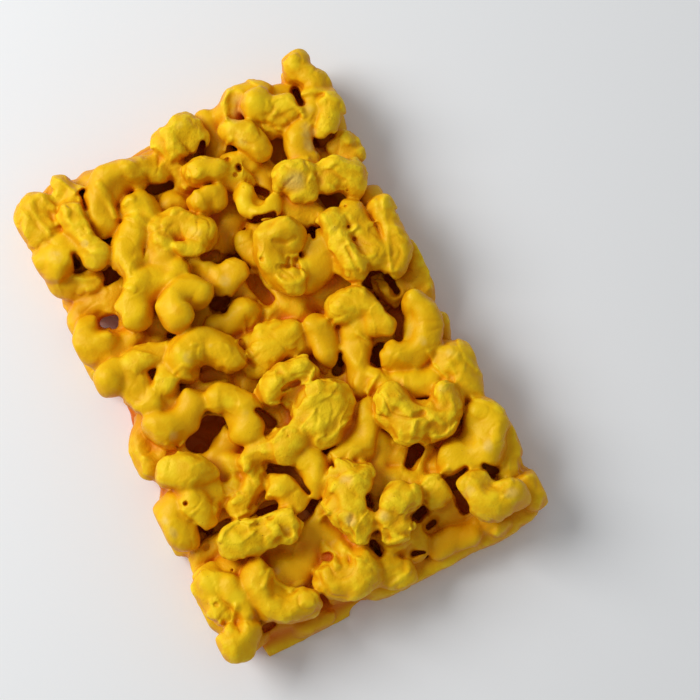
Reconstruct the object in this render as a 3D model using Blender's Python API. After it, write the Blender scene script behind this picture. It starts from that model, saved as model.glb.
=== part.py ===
"""Moulded slab of whole nuts under a thick yellow coat, in metres, lying on z = 0.

+Y is the long side, +X the short side, and the origin is the middle of the flat bottom.
"""

import math

import bmesh
import bpy
from mathutils import Matrix, Vector

MM = 0.001

# The mould that the slab was set in
MOULD_WIDTH = 118 * MM
MOULD_LENGTH = 180.5 * MM
MOULD_HEIGHT = 31 * MM

# The poured sheet under the nuts, which shows along the -Y end: sloping sides, cut corners
SHEET_INSET = 3 * MM
SHEET_HEIGHT = 5 * MM
SHEET_SLOPE = 5 * MM
SHEET_CORNER = 11 * MM

# How far the sheet is made below z = 0, where it is then cut flat
TRIMMED = 1 * MM

# The coat that fills the middle, under the nuts that show
CORE_INSET = 10 * MM
CORE_HEIGHT = 16.9 * MM
CORE_SLOPE = 4 * MM
CORE_CORNER = 12 * MM

# How much the coat adds to a nut's thickness
COAT = 0.8 * MM

# Millimetres: the point that the layout was read from and the level it was read on, and
# how high the space of a gap reaches. Degrees: the outline of a gap round each of its ends.
EYE = (-33.5, -123.5, 599)
READ_LEVEL = 20
GAP_TOP = 40
GAP_ANGLES = (-75, -25, 25, 75)

# How a nut is drawn: the angles of the rings that round its ends, and when it needs
# fewer or more rings along its arc
TAPER = 0.9
PROUD_ANGLES = (42, 74)
PLAIN_ANGLES = (58,)
PROUD_HEIGHT = 19.5 * MM
KNOB_THICK = 8 * MM
SINK = 0.8 * MM
BARELY_OUT = 2.2 * MM
SHORT_CHORD = 7 * MM
STRONG_BEND = 0.3
NEARLY_STRAIGHT = 0.02
WELD = 0.01 * MM
KEPT_SHARE = 0.66
SHARP_ANGLE = 50

YELLOW = (0.80, 0.44, 0.015, 1)
SLAB = "nut_slab"

# From the middle of the read layout to the middle of the mould
LAYOUT_SHIFT = Vector((0.75, 0.75, 0))

# Each nut, in millimetres: where its thick end, its bend and its thin end lie, the height
# of its middle, its thickness, and how far its thin end rises above its thick end
NORTH = (
    ((-49.5, 77.5), (-52, 73.5), (-51.5, 67.5), 17, 12, 0),
    ((-41.5, 79.5), (-38, 80), (-36.5, 74.5), 17, 11, 0),
    ((-30.5, 78), (-26, 78.5), (-21, 77.5), 11, 9.5, 0),
    ((-31.5, 64), (-29.5, 73), (-20, 73), 20, 11.5, 3),
    ((-15.5, 73), (-12.5, 73), (-10, 71), 17, 11, 0),
    ((-2, 76.5), (2, 79.5), (6.5, 79), 20, 13, 0),
    ((-6.5, 73), (-3.5, 71), (-1, 66.5), 16, 9.5, -2),
    ((14, 79.5), (14, 76), (13, 71), 13, 9.5, -2),
    ((22.5, 79), (27, 82), (33.5, 81), 16, 10.5, 0),
    ((36, 69.5), (38, 71), (40, 70.5), 20, 9, 0),
    ((20, 72.5), (23, 68), (25.5, 63.5), 21, 10, 0),
    ((50.5, 84.5), (51, 80), (53, 74.5), 19, 9, -1),
    ((40, 78.5), (43, 79), (45.5, 78), 14, 7, 0),
    ((48, 71.5), (52, 72), (55, 69), 20, 6, 0),
)
NORTH_WEST = (
    ((-41, 70), (-42, 61), (-40.5, 53), 21, 9, 0),
    ((-53, 57.5), (-51, 59.5), (-48.5, 61), 17, 12.5, 0),
    ((-54, 51.5), (-50.5, 48), (-45, 47), 13, 9, 0),
    ((-21.5, 61.5), (-19.5, 60.5), (-18.5, 57), 18, 10.5, 0),
    ((-25.5, 54.5), (-28.5, 51.5), (-29.5, 46.5), 21, 11.5, 0),
    ((-9, 59), (-8, 58.5), (-7, 57), 14, 9, 0),
    ((-20, 43.5), (-12, 50), (-5.5, 44), 20, 11, 1),
    ((-13, 41), (-11.5, 40.3), (-10, 39.5), 23, 6, 0),
    ((-54, 36.5), (-50.5, 39.5), (-43, 39.5), 10, 10, 0),
    ((-36, 30), (-31, 36.3), (-21, 35.7), 21, 11.3, 0),
    ((-53.5, 31.5), (-53, 27), (-49.5, 24), 16, 10, 0),
    ((-50.5, 20), (-45, 21.5), (-40, 24), 14, 8.5, 0),
    ((-25, 21.5), (-22, 27), (-15.5, 25.5), 24, 10, -3),
    ((-13, 36.5), (-10.5, 33), (-9, 30), 16, 8, 0),
    ((-5.5, 27), (-3.5, 27.5), (-1.5, 28.5), 18, 10, 2),
    ((-6, 14), (-4.5, 14.6), (-3, 13.5), 16, 9.5, 0),
    ((-14, 15.5), (-12, 15), (-10, 13), 16.5, 6, 0),
)
NORTH_EAST = (
    ((3.5, 65), (6, 64.3), (8.5, 62.5), 21, 9.5, 0),
    ((0.5, 54.5), (2.5, 54.5), (4.5, 54), 20, 10, 0),
    ((11, 60), (13.3, 58), (15, 55.5), 17, 9.5, 0),
    ((14, 64), (18, 62.5), (21, 60), 17, 6, 0),
    ((23, 57), (23, 54.5), (22, 52), 13, 8, 0),
    ((47, 66.5), (41, 62.5), (38.5, 52), 18, 10.5, 0),
    ((54, 65.5), (53, 63), (50.5, 60.5), 21, 8.5, 0),
    ((53.5, 52), (53, 49.5), (53.5, 46.5), 14, 9, 0),
    ((40.5, 42), (44.5, 41.5), (48.5, 38.5), 20, 10.5, 0),
    ((30.8, 47.5), (32, 46), (31.5, 43), 23, 12, 0),
    ((15, 50.3), (11.2, 46.5), (21.5, 43), 21, 5.5, 0),
    ((3.5, 52), (5.5, 46), (3.5, 40), 10, 9, 0),
    ((8, 35.5), (8, 34), (9, 31), 14, 8, 0),
    ((27, 41), (29, 38), (31, 34), 16, 9, 0),
    ((21.5, 31.8), (11.2, 28.5), (14.2, 17), 23, 11, 0),
    ((20, 16), (26, 17), (29, 23), 18, 11.5, 0),
    ((34.8, 11), (36, 20), (35.6, 30), 23, 8.6, 0),
    ((43.2, 29), (44, 21), (42, 11), 21, 9, 0),
    ((53.5, 25), (51.8, 15), (47.5, 6.5), 20, 9, 0),
    ((52.5, 31.5), (53.5, 29), (54, 26), 13, 9, 0),
    ((4, 10.5), (8, 9.5), (12, 6), 14, 6, 0),
    ((16, 8), (22, 9), (28, 8.5), 9, 9, 0),
)
MIDDLE = (
    ((-54, 12), (-52, 13), (-50, 14), 20, 8.2, 0),
    ((-36, 12.5), (-45, 12.5), (-45, 1), 19, 11.2, 0),
    ((-26.5, 9), (-20.5, 10), (-14.5, 1.5), 22, 11, -2),
    ((-38, 3), (-36.5, 4.5), (-35, 6), 20, 8, 0),
    ((-44.5, -8.5), (-38.5, -10.5), (-33, -4), 19, 10.5, 0),
    ((-53.5, -17), (-53, -12), (-50, -7), 12, 9.5, 0),
    ((-24, -9.5), (-19.5, -12.5), (-21, -22.5), 20, 9.5, 0),
    ((-47.5, -24.5), (-44, -25.5), (-40.5, -28.5), 20.5, 11, 0),
    ((-34, -29), (-31.5, -25.5), (-27, -22), 13, 9, 0),
    ((-4.5, -2), (0.5, 1), (5.5, -2), 16, 14.5, 0),
    ((16.5, -1.8), (16, -6.5), (14.8, -10.5), 18, 9.8, 0),
    ((27.5, -0.5), (31.5, -2.5), (34, -11), 22, 11.3, 0),
    ((47.8, -9.5), (46.5, -21), (33.5, -22.3), 20, 9.8, 0),
    ((24.5, -14.5), (21.5, -19.5), (19.8, -25), 17, 9.5, 0),
    ((54, 9), (54, 4.5), (53.5, 1), 12, 9, 0),
    ((54, -3.5), (53.5, -5.5), (52.5, -8), 10, 8.5, 0),
    ((52, -17), (52.3, -18.5), (51.5, -20.5), 9, 8.5, 0),
    ((40, 1.5), (40.5, 0), (41, -2), 9, 5.5, 0),
    ((22.5, -7), (24.5, -8.5), (27, -10.5), 14, 7.5, 0),
    ((3, -24), (7, -28), (3, -33), 21, 12.5, 0),
    ((-8, -14.5), (-1, -12), (5.5, -13.8), 24.5, 7.8, 0),
    ((-12.5, -32.5), (-8, -32.5), (-4, -31), 20, 11.5, 0),
    ((-25, -32.5), (-21.5, -31), (-17, -30.5), 19, 8, 0),
    ((24, -27), (26, -29), (27, -31.5), 18, 8, 0),
)
SOUTH_WEST = (
    ((-54.5, -35), (-55.3, -40), (-54.3, -45), 17, 10, 0),
    ((-46, -37), (-45, -39.5), (-44.5, -41), 18.5, 10.5, 0),
    ((-40, -33.5), (-39.3, -36), (-39.5, -38), 17, 7.5, 0),
    ((-25, -38), (-30, -41), (-35, -43), 17, 8.5, 0),
    ((-19, -44), (-17.3, -46.5), (-17, -50.5), 18, 9.5, 0),
    ((-6, -40), (-5.7, -44), (-7.5, -48.5), 18, 10.5, 0),
    ((-39.5, -52.8), (-31, -55.3), (-23, -57), 22, 10, 0),
    ((-51.5, -60.5), (-53.3, -64.5), (-53.8, -69.5), 17, 11, 0),
    ((-55, -80.5), (-52.5, -82.5), (-49.5, -80.5), 18, 10.5, 0),
    ((-48, -63), (-47.5, -69), (-46.8, -75), 20, 6.5, 0),
    ((-39, -66), (-37.5, -76), (-27.5, -81), 19, 11.3, 0),
    ((-30, -67), (-25, -69), (-20.5, -69), 13, 11, 0),
    ((-15.5, -78), (-12, -81.3), (-6.5, -79.5), 17, 12.5, 0),
    ((-16, -61), (-13, -64), (-10, -68), 12, 9, 0),
    ((-52, -53), (-49.5, -52), (-46, -51), 11, 8, 0),
)
SOUTH_EAST = (
    ((17, -34.5), (12.5, -41.5), (4, -44.5), 17, 9, 0),
    ((18, -44), (14, -48.5), (9.5, -51), 13, 8, 0),
    ((26.5, -38), (31, -46), (42, -42.5), 23, 11.5, 0),
    ((33.5, -31.5), (37, -33), (41, -34.5), 18, 9.5, 0),
    ((50, -31), (51, -34.5), (52, -40), 18, 11.5, 0),
    ((50.8, -51.5), (50.8, -60.5), (37, -59.8), 19, 11.5, 0),
    ((54, -58), (54, -64.5), (51, -69.5), 14, 9, 0),
    ((37.5, -71.8), (38.5, -78.5), (46.5, -80), 22, 10, 0),
    ((53.5, -77.5), (53.8, -81), (52.5, -84), 9, 9, 0),
    ((2, -52.3), (-2.5, -58.5), (-2, -66.5), 22, 10.8, 0),
    ((15, -65.8), (9.5, -69), (7.5, -74), 23, 10.5, 0),
    ((25.5, -66), (25.7, -68), (25.3, -69.5), 18, 8, 0),
    ((20, -83.5), (26, -84), (30.5, -84.5), 11, 8.5, 0),
    ((36, -82.5), (38, -84.5), (39.5, -86), 10, 8, 0),
    ((0.5, -83), (2, -84), (4, -85.5), 14, 9.5, 0),
    ((12, -76), (13, -79), (13, -81), 12, 7, 0),
    ((13, -59), (16, -58.5), (20, -58.5), 13, 5, 0),
    ((5, -56), (8, -58), (10, -60), 10, 8, 0),
    ((25, -60.5), (28, -60), (31, -59.5), 7, 8, 0),
)
REGIONS = (NORTH, NORTH_WEST, NORTH_EAST, MIDDLE, SOUTH_WEST, SOUTH_EAST)

# The lower nuts along the mould wall, from the middle of the mould
EDGE = (
    ((-51.5, 80), (-51, 76), (-50, 71), 6.5, 11, 0),
    ((-52, 63), (-51.5, 58), (-51, 54), 6.5, 11, 0),
    ((-51.5, 47), (-51.5, 42), (-50, 38), 6, 10.5, 0),
    ((-52.5, 25), (-52, 21.5), (-50, 18.5), 6.5, 11, 0),
    ((-51.5, 13.5), (-50.5, 11.5), (-48, 9), 7, 10, 0),
    ((-45, 3), (-45, -1), (-46, -5), 6, 11, 0),
    ((-50.5, -10), (-52, -14), (-51.5, -19), 6, 11, 0),
    ((-47, -24), (-48.5, -28), (-50.5, -32), 6.5, 10, 0),
    ((-53, -36), (-53.5, -41), (-52.5, -46), 6.5, 11, 0),
    ((-49.5, -52), (-49.5, -55), (-50.5, -58), 6, 10.5, 0),
    ((-53, -63), (-53.5, -68), (-53, -73), 6.5, 11, 0),
    ((-52, -78), (-50, -80.5), (-46, -81.5), 8, 10, 0),
    ((-45, 80.5), (-40, 81.5), (-35, 80.5), 6.5, 11, 0),
    ((-30, 80), (-25, 80.5), (-21, 79.5), 6, 10.5, 0),
    ((-17, 77.5), (-12.5, 78), (-8, 77.5), 6, 10.5, 0),
    ((-3, 81), (2, 82), (7, 81), 6.5, 11, 0),
    ((13, 80), (16, 79.5), (19, 80), 6, 10, 0),
    ((24, 82), (29, 82.5), (34, 81.5), 6.5, 11, 0),
    ((38.5, 79.5), (42, 79.5), (45, 80), 6, 10, 0),
    ((50, 83), (51.5, 81), (52.5, 77), 6.5, 11, 0),
    ((53, 71), (53.5, 66), (53, 62), 6.5, 11, 0),
    ((52.5, 55), (53, 50), (52.5, 46), 6.5, 11, 0),
    ((49.5, 40), (50, 37.5), (51, 35), 6, 10, 0),
    ((53, 29), (53.5, 24), (53, 20), 6.5, 11, 0),
    ((52.5, 14), (53, 9.5), (53, 5), 6, 11, 0),
    ((52, -1), (52.5, -4.5), (51.5, -8), 6, 10.5, 0),
    ((50.5, -15.5), (51, -18.5), (50.5, -21.5), 6, 10, 0),
    ((52.5, -29), (53, -34), (52.5, -39), 6.5, 11, 0),
    ((50, -45), (50.5, -48), (51.5, -51), 6.5, 10.5, 0),
    ((53, -57), (53.5, -62), (53, -67), 6.5, 11, 0),
    ((52.5, -74), (53, -79), (51, -83.5), 6.5, 10.5, 0),
    ((-40, -78), (-35, -79), (-30, -78.5), 5.5, 10, 0),
    ((-22, -77.5), (-17, -78.5), (-12, -79), 5.5, 10.5, 0),
    ((-5, -82.5), (0, -84), (5, -83.5), 5.5, 10.5, 0),
    ((10, -84), (13.5, -84.5), (17, -84), 5, 9.5, 0),
    ((21, -84.5), (26, -85), (31, -84.5), 5, 9.5, 0),
    ((36, -84.5), (40, -85), (43.5, -83.5), 5.5, 10, 0),
)

# Rounder knobs on the nuts, in millimetres: place, height of the middle and radius
KNOBS = (
    ((31, 78), 20, 6),
    ((39.5, 71), 20, 5.8),
    ((-39.8, 52), 20.5, 5.8),
    ((-19.5, 45.5), 17, 6.2),
    ((-6, 44.5), 19.5, 6.6),
    ((-28.5, 8.5), 21, 6.4),
    ((5, -28.3), 18, 10.6),
    ((-48.3, -23), 20.5, 4.6),
    ((51, -30.5), 18.5, 6.6),
    ((28.5, -44.5), 21.5, 7.6),
    ((42.5, -42.5), 22, 6.2),
    ((-8, -80), 15.5, 6.8),
    ((-16, -78.5), 16, 6),
    ((3, 79), 18.5, 7.4),
    ((15, -65.5), 21.5, 6.2),
    ((53.5, 64.8), 20, 4.8),
    ((47.3, -79.8), 20.5, 5.6),
    ((31, 46.5), 21, 6.6),
)

# The widest gaps between the nuts, in millimetres, as they line up when seen from EYE:
# both ends, half the width and the height of the floor
GAPS = (
    ((-37, -18), (-29.5, -17), 4.6, 2.5),
    ((22.5, -56.5), (27.5, -53), 3.4, 2.5),
    ((18.5, -74.5), (28.5, -76), 4.2, 2.5),
    ((13, 40.3), (19.5, 39.5), 1.9, 3),
    ((-11.5, 20), (-7.5, 20.5), 2, 2.5),
    ((-14, 66), (-4, 63.5), 2.4, 3),
    ((45.5, 55), (51, 56), 2, 3),
    ((-40.5, 43.5), (-36, 45), 2.6, 3),
    ((37, 3.5), (37.5, -1.5), 1.8, 3),
    ((44.3, 3.4), (44.4, -1), 1.3, 3),
    ((31.5, -65.5), (37.5, -66), 1.6, 5),
    ((43.5, -68), (46.5, -70.5), 2.2, 6),
    ((3, 22), (5, 13.5), 2.4, 9),
    ((-25, -0.5), (-20, -1.5), 2.6, 12),
)


def clear_scene():
    """Remove everything that the scene starts with."""
    for obj in list(bpy.data.objects):
        bpy.data.objects.remove(obj, do_unlink=True)


def new_collection(name):
    """A collection linked to the scene."""
    made = bpy.data.collections.new(name)
    bpy.context.scene.collection.children.link(made)
    return made


def coat_material():
    """The yellow coat."""
    material = bpy.data.materials.new("yellow_coat")
    material.use_nodes = True
    surface = material.node_tree.nodes["Principled BSDF"]
    surface.inputs["Base Color"].default_value = YELLOW
    surface.inputs["Roughness"].default_value = 0.42
    surface.inputs["Metallic"].default_value = 0
    return material


def arc_points(start, bend, end):
    """Evenly spaced points on the arc through three points: two if short, four if much bent."""
    chord = end - start
    middle = (start + end) / 2
    side = Vector((-chord.y, chord.x, 0)).normalized()
    sag = (bend - middle).dot(side)
    count = 2 if chord.length < SHORT_CHORD else 3
    if abs(sag) > STRONG_BEND * chord.length:
        count += 1
    if abs(sag) < NEARLY_STRAIGHT * chord.length:
        return [start.lerp(end, step / (count - 1)) for step in range(count)]
    half = chord.length / 2
    radius = (half * half + sag * sag) / (2 * sag)
    centre = middle + side * (sag - radius)
    sweep = 4 * math.atan2(sag, half)
    points = []
    for step in range(count):
        share = step / (count - 1)
        turn = -sweep * share
        spoke = start - centre
        turned = Vector((
            spoke.x * math.cos(turn) - spoke.y * math.sin(turn),
            spoke.x * math.sin(turn) + spoke.y * math.cos(turn),
            0,
        ))
        points.append(centre + turned)
    return points


def nut(name, start, bend, end, thick, rise, proud, collection):
    """A bent nut with round ends, thinner towards its end, as a closed mesh.

    A proud one has eight sides and rounder ends, the others have six sides.
    """
    angles = PROUD_ANGLES if proud else PLAIN_ANGLES
    body = arc_points(start, bend, end)
    last = len(body) - 1
    for step, point in enumerate(body):
        point.z = start.z + rise * (step / last - 0.5)
    radius = thick / 2
    first_way = (body[0] - body[1]).normalized()
    last_way = (body[-1] - body[-2]).normalized()
    knots = []
    for angle in reversed(angles):
        turn = math.radians(angle)
        knots.append((body[0] + first_way * radius * math.sin(turn), math.cos(turn)))
    for step, point in enumerate(body):
        knots.append((point, 1 - (1 - TAPER) * step / last))
    for angle in angles:
        turn = math.radians(angle)
        reach = TAPER * radius * math.sin(turn)
        knots.append((body[-1] + last_way * reach, TAPER * math.cos(turn)))

    curve = bpy.data.curves.new(name, "CURVE")
    curve.dimensions = "3D"
    curve.bevel_depth = radius
    curve.bevel_resolution = 2 if proud else 1
    curve.use_fill_caps = True
    spline = curve.splines.new("POLY")
    spline.points.add(len(knots) - 1)
    for point, (place, share) in zip(spline.points, knots):
        point.co = (*place, 1)
        point.radius = share
    return as_mesh(name, curve, collection)


def from_bmesh(name, work, collection):
    """An object made of a bmesh, which is then freed."""
    mesh = bpy.data.meshes.new(name)
    work.to_mesh(mesh)
    work.free()
    made = bpy.data.objects.new(name, mesh)
    collection.objects.link(made)
    return made


def as_mesh(name, curve, collection):
    """The closed mesh of a curve, which is then removed."""
    drawn = bpy.data.objects.new(name, curve)
    collection.objects.link(drawn)
    graph = bpy.context.evaluated_depsgraph_get()
    mesh = bpy.data.meshes.new_from_object(drawn.evaluated_get(graph))
    work = bmesh.new()
    work.from_mesh(mesh)
    bmesh.ops.remove_doubles(work, verts=work.verts, dist=WELD)
    bmesh.ops.recalc_face_normals(work, faces=work.faces)
    work.to_mesh(mesh)
    work.free()
    made = bpy.data.objects.new(name, mesh)
    made.matrix_world = drawn.matrix_world
    collection.objects.link(made)
    bpy.data.objects.remove(drawn, do_unlink=True)
    return made


def tapered_block(name, width, length, height, slope, corner, collection):
    """A block on z = 0 with cut corners, whose sides lean in by the slope."""
    work = bmesh.new()
    bmesh.ops.create_cube(work, size=1)
    for vert in work.verts:
        vert.co = Vector((vert.co.x * width, vert.co.y * length, (vert.co.z + 0.5) * height))
    upright = [
        edge for edge in work.edges
        if abs(edge.verts[0].co.z - edge.verts[1].co.z) > height / 2
    ]
    bmesh.ops.bevel(work, geom=upright, offset=corner, segments=1, affect="EDGES")
    for vert in work.verts:
        if vert.co.z > height / 2:
            vert.co.x *= 1 - 2 * slope / width
            vert.co.y *= 1 - 2 * slope / length
    return from_bmesh(name, work, collection)


def seated_height(height, thick):
    """The height of a nut's middle, low enough to sink into the core, unless it is a knob."""
    if thick < KNOB_THICK:
        return height
    return min(height, CORE_HEIGHT + thick / 2 - SINK)


def in_core(start, end, thick):
    """Whether a nut hardly stands out of the core, which then takes its place."""
    width_left = MOULD_WIDTH / 2 - CORE_INSET - CORE_SLOPE
    length_left = MOULD_LENGTH / 2 - CORE_INSET - CORE_SLOPE
    inside = all(abs(place.x) < width_left and abs(place.y) < length_left for place in (start, end))
    return inside and start.z + thick / 2 < CORE_HEIGHT + BARELY_OUT


def laid_nuts(collection):
    """The nuts that show from above, at their places in the layout."""
    rows = [row for region in REGIONS for row in region]
    for index, (start, bend, end, height, thick, rise) in enumerate(rows):
        ends = [(Vector((*place, 0)) + LAYOUT_SHIFT) * MM for place in (start, bend, end)]
        coated = thick * MM + COAT
        for place in ends:
            place.z = seated_height(height * MM, coated)
        if in_core(ends[0], ends[2], coated):
            continue
        proud = height * MM > PROUD_HEIGHT
        nut(f"nut_{index:03d}", *ends, coated, rise * MM, proud, collection)


def knobs(collection):
    """The rounder knobs on the nuts."""
    for index, ((x, y), height, radius) in enumerate(KNOBS):
        place = (Vector((x, y, height)) + LAYOUT_SHIFT) * MM
        work = bmesh.new()
        bmesh.ops.create_icosphere(
            work, subdivisions=2, radius=radius * MM, matrix=Matrix.Translation(place)
        )
        from_bmesh(f"knob_{index:02d}", work, collection)


def edge_nuts(collection):
    """The lower nuts along the mould wall."""
    for index, (start, bend, end, height, thick, rise) in enumerate(EDGE):
        ends = [Vector((*place, height)) * MM for place in (start, bend, end)]
        name = f"edge_nut_{index:02d}"
        nut(name, *ends, thick * MM + COAT, rise * MM, False, collection)


def lined_up(place, height):
    """Where something at a height lies that is seen at a place of the layout."""
    share = (EYE[2] - height) / (EYE[2] - READ_LEVEL)
    foot = Vector(EYE[:2])
    return foot + (Vector(place) - foot) * share + LAYOUT_SHIFT.xy


def gap(name, start, end, reach, floor, collection):
    """The space of a gap: a slot with round ends that leans away from EYE."""
    along = (Vector(end) - Vector(start)).normalized()
    outline = []
    for tip, way in ((Vector(start), -along), (Vector(end), along)):
        for angle in GAP_ANGLES:
            turned = Matrix.Rotation(math.radians(angle), 2) @ way
            outline.append(tip + turned * reach)
    work = bmesh.new()
    loops = []
    for height in (floor, GAP_TOP):
        places = [lined_up(place, height) for place in outline]
        loops.append([work.verts.new(Vector((*place, height)) * MM) for place in places])
    for loop in loops:
        work.faces.new(loop)
    for step, (low, high) in enumerate(zip(*loops)):
        work.faces.new((loops[0][step - 1], low, high, loops[1][step - 1]))
    bmesh.ops.recalc_face_normals(work, faces=work.faces)
    from_bmesh(name, work, collection)


def bake(obj, modifier):
    """Replace an object's mesh by what its modifier makes of it."""
    graph = bpy.context.evaluated_depsgraph_get()
    result = bpy.data.meshes.new_from_object(obj.evaluated_get(graph))
    obj.modifiers.remove(modifier)
    obj.data = result


def combine(body, pieces, operation):
    """Join the pieces of a collection to a body, or cut them out of it, and remove them."""
    join = body.modifiers.new("combine", "BOOLEAN")
    join.operation = operation
    join.solver = "EXACT"
    join.operand_type = "COLLECTION"
    join.collection = pieces
    bake(body, join)
    in_triangles(body)
    for piece in list(pieces.objects):
        bpy.data.objects.remove(piece, do_unlink=True)
    bpy.data.collections.remove(pieces)


def in_triangles(body):
    """Split a body's faces into triangles, which are flat for the next cut."""
    work = bmesh.new()
    work.from_mesh(body.data)
    bmesh.ops.triangulate(work, faces=work.faces)
    work.to_mesh(body.data)
    work.free()


def press_in_mould(body, collection):
    """Flatten whatever reaches past the mould's walls or floor."""
    bpy.ops.mesh.primitive_cube_add(size=1, location=(0, 0, MOULD_HEIGHT / 2))
    mould = bpy.context.active_object
    mould.name = "mould"
    mould.scale = (MOULD_WIDTH, MOULD_LENGTH, MOULD_HEIGHT)
    bpy.context.view_layer.update()
    press = body.modifiers.new("press", "BOOLEAN")
    press.operation = "INTERSECT"
    press.solver = "EXACT"
    press.object = mould
    bake(body, press)
    bpy.data.objects.remove(mould, do_unlink=True)


def thin_out(body):
    """Merge the small faces that the union leaves where nuts cross."""
    thin = body.modifiers.new("thin", "DECIMATE")
    thin.ratio = KEPT_SHARE
    bake(body, thin)


def keep_outer_shell(obj):
    """Drop loose scraps and fill sealed hollows, so that one closed body is left."""
    work = bmesh.new()
    work.from_mesh(obj.data)
    bmesh.ops.triangulate(work, faces=work.faces)
    unseen = set(work.faces)
    islands = []
    while unseen:
        reached = {unseen.pop()}
        border = list(reached)
        while border:
            face = border.pop()
            for edge in face.edges:
                for other in edge.link_faces:
                    if other in unseen:
                        unseen.remove(other)
                        reached.add(other)
                        border.append(other)
        islands.append(reached)
    largest = max(islands, key=len)
    extra = [face for face in work.faces if face not in largest]
    bmesh.ops.delete(work, geom=extra, context="FACES")
    work.to_mesh(obj.data)
    work.free()


def main():
    """Build the slab as one solid."""
    clear_scene()
    slab_parts = new_collection("nut_brittle_slab")
    lower = new_collection("lower")
    upper = new_collection("upper")
    material = coat_material()
    slab = tapered_block(
        SLAB,
        MOULD_WIDTH - 2 * SHEET_INSET,
        MOULD_LENGTH - SHEET_INSET,
        SHEET_HEIGHT,
        SHEET_SLOPE,
        SHEET_CORNER,
        slab_parts,
    )
    for vert in slab.data.vertices:
        vert.co.y -= SHEET_INSET / 2
        if vert.co.z < SHEET_HEIGHT / 2:
            vert.co.z -= TRIMMED
    core = tapered_block(
        "core",
        MOULD_WIDTH - 2 * CORE_INSET,
        MOULD_LENGTH - 2 * CORE_INSET,
        CORE_HEIGHT - SHEET_HEIGHT / 2,
        CORE_SLOPE,
        CORE_CORNER,
        lower,
    )
    core.location.z = SHEET_HEIGHT / 2
    edge_nuts(lower)
    laid_nuts(upper)
    knobs(upper)
    combine(slab, lower, "UNION")
    for index, (start, end, reach, floor) in enumerate(GAPS):
        cut = new_collection("cut")
        gap(f"gap_{index:02d}", start, end, reach, floor, cut)
        combine(slab, cut, "DIFFERENCE")
    combine(slab, upper, "UNION")
    press_in_mould(slab, slab_parts)
    keep_outer_shell(slab)
    thin_out(slab)
    slab.data.materials.clear()
    slab.data.materials.append(material)
    slab.data.shade_smooth()
    slab.data.set_sharp_from_angle(angle=math.radians(SHARP_ANGLE))


main()
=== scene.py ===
"""Looks of the moulded slab of nuts under a thick yellow coat, on a pale studio floor."""

from __future__ import annotations

import logging
import math
import random
from collections.abc import Iterable
from dataclasses import dataclass, field
from enum import Enum

import bpy
import numpy as np
import openvdb
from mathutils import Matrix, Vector


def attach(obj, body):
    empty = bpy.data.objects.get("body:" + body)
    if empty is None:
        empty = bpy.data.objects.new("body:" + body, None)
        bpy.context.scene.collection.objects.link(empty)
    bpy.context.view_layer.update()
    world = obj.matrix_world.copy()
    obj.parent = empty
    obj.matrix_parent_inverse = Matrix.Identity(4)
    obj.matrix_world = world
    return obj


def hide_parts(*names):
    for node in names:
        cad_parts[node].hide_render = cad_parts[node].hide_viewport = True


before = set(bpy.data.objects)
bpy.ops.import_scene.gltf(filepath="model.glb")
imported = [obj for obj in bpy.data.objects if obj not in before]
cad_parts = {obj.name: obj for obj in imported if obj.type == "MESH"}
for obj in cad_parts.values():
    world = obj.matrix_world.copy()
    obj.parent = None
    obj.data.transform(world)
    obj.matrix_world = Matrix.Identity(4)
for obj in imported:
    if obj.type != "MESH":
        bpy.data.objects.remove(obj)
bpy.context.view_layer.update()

LOG = logging.getLogger("nut_slab")
MM = 0.001


class Skin(Enum):
    """How the coat set on a nut, as the share of the full wrinkling that it has."""

    SMOOTH = 0.38
    LUMPY = 0.65
    WRINKLED = 1.0


SMOOTH, LUMPY, WRINKLED = Skin.SMOOTH, Skin.LUMPY, Skin.WRINKLED

Place = tuple[float, float]
Colour = tuple[float, float, float]
Cells = tuple[slice, slice, slice]
Row = tuple[Place, Place, Place, float, float, float, Skin]
Waves = tuple[tuple[float, float, int], ...]
Blocks = tuple[np.ndarray, np.ndarray, np.ndarray]

# From the middle of the read layout to the middle of the mould, in millimetres
LAYOUT_SHIFT = 0.75

# Where the camera stands over the read layout, and the level that the layout was read at
CAMERA_FOOT = (-33.5, -123.5)
CAMERA_HEIGHT = 599.0
READ_LEVEL = 20.0

# The distance held where nothing is near, and a floor below everything, in millimetres
FAR_OFF = 4.0
BELOW_ALL = -4.0

# What keeps a place before the last cell, the least number to divide by, and a cubic
# centimetre in cubic millimetres
PAST_LAST = 1.001
TINY = 1e-6
CUBIC_CM = 1000.0

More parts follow.
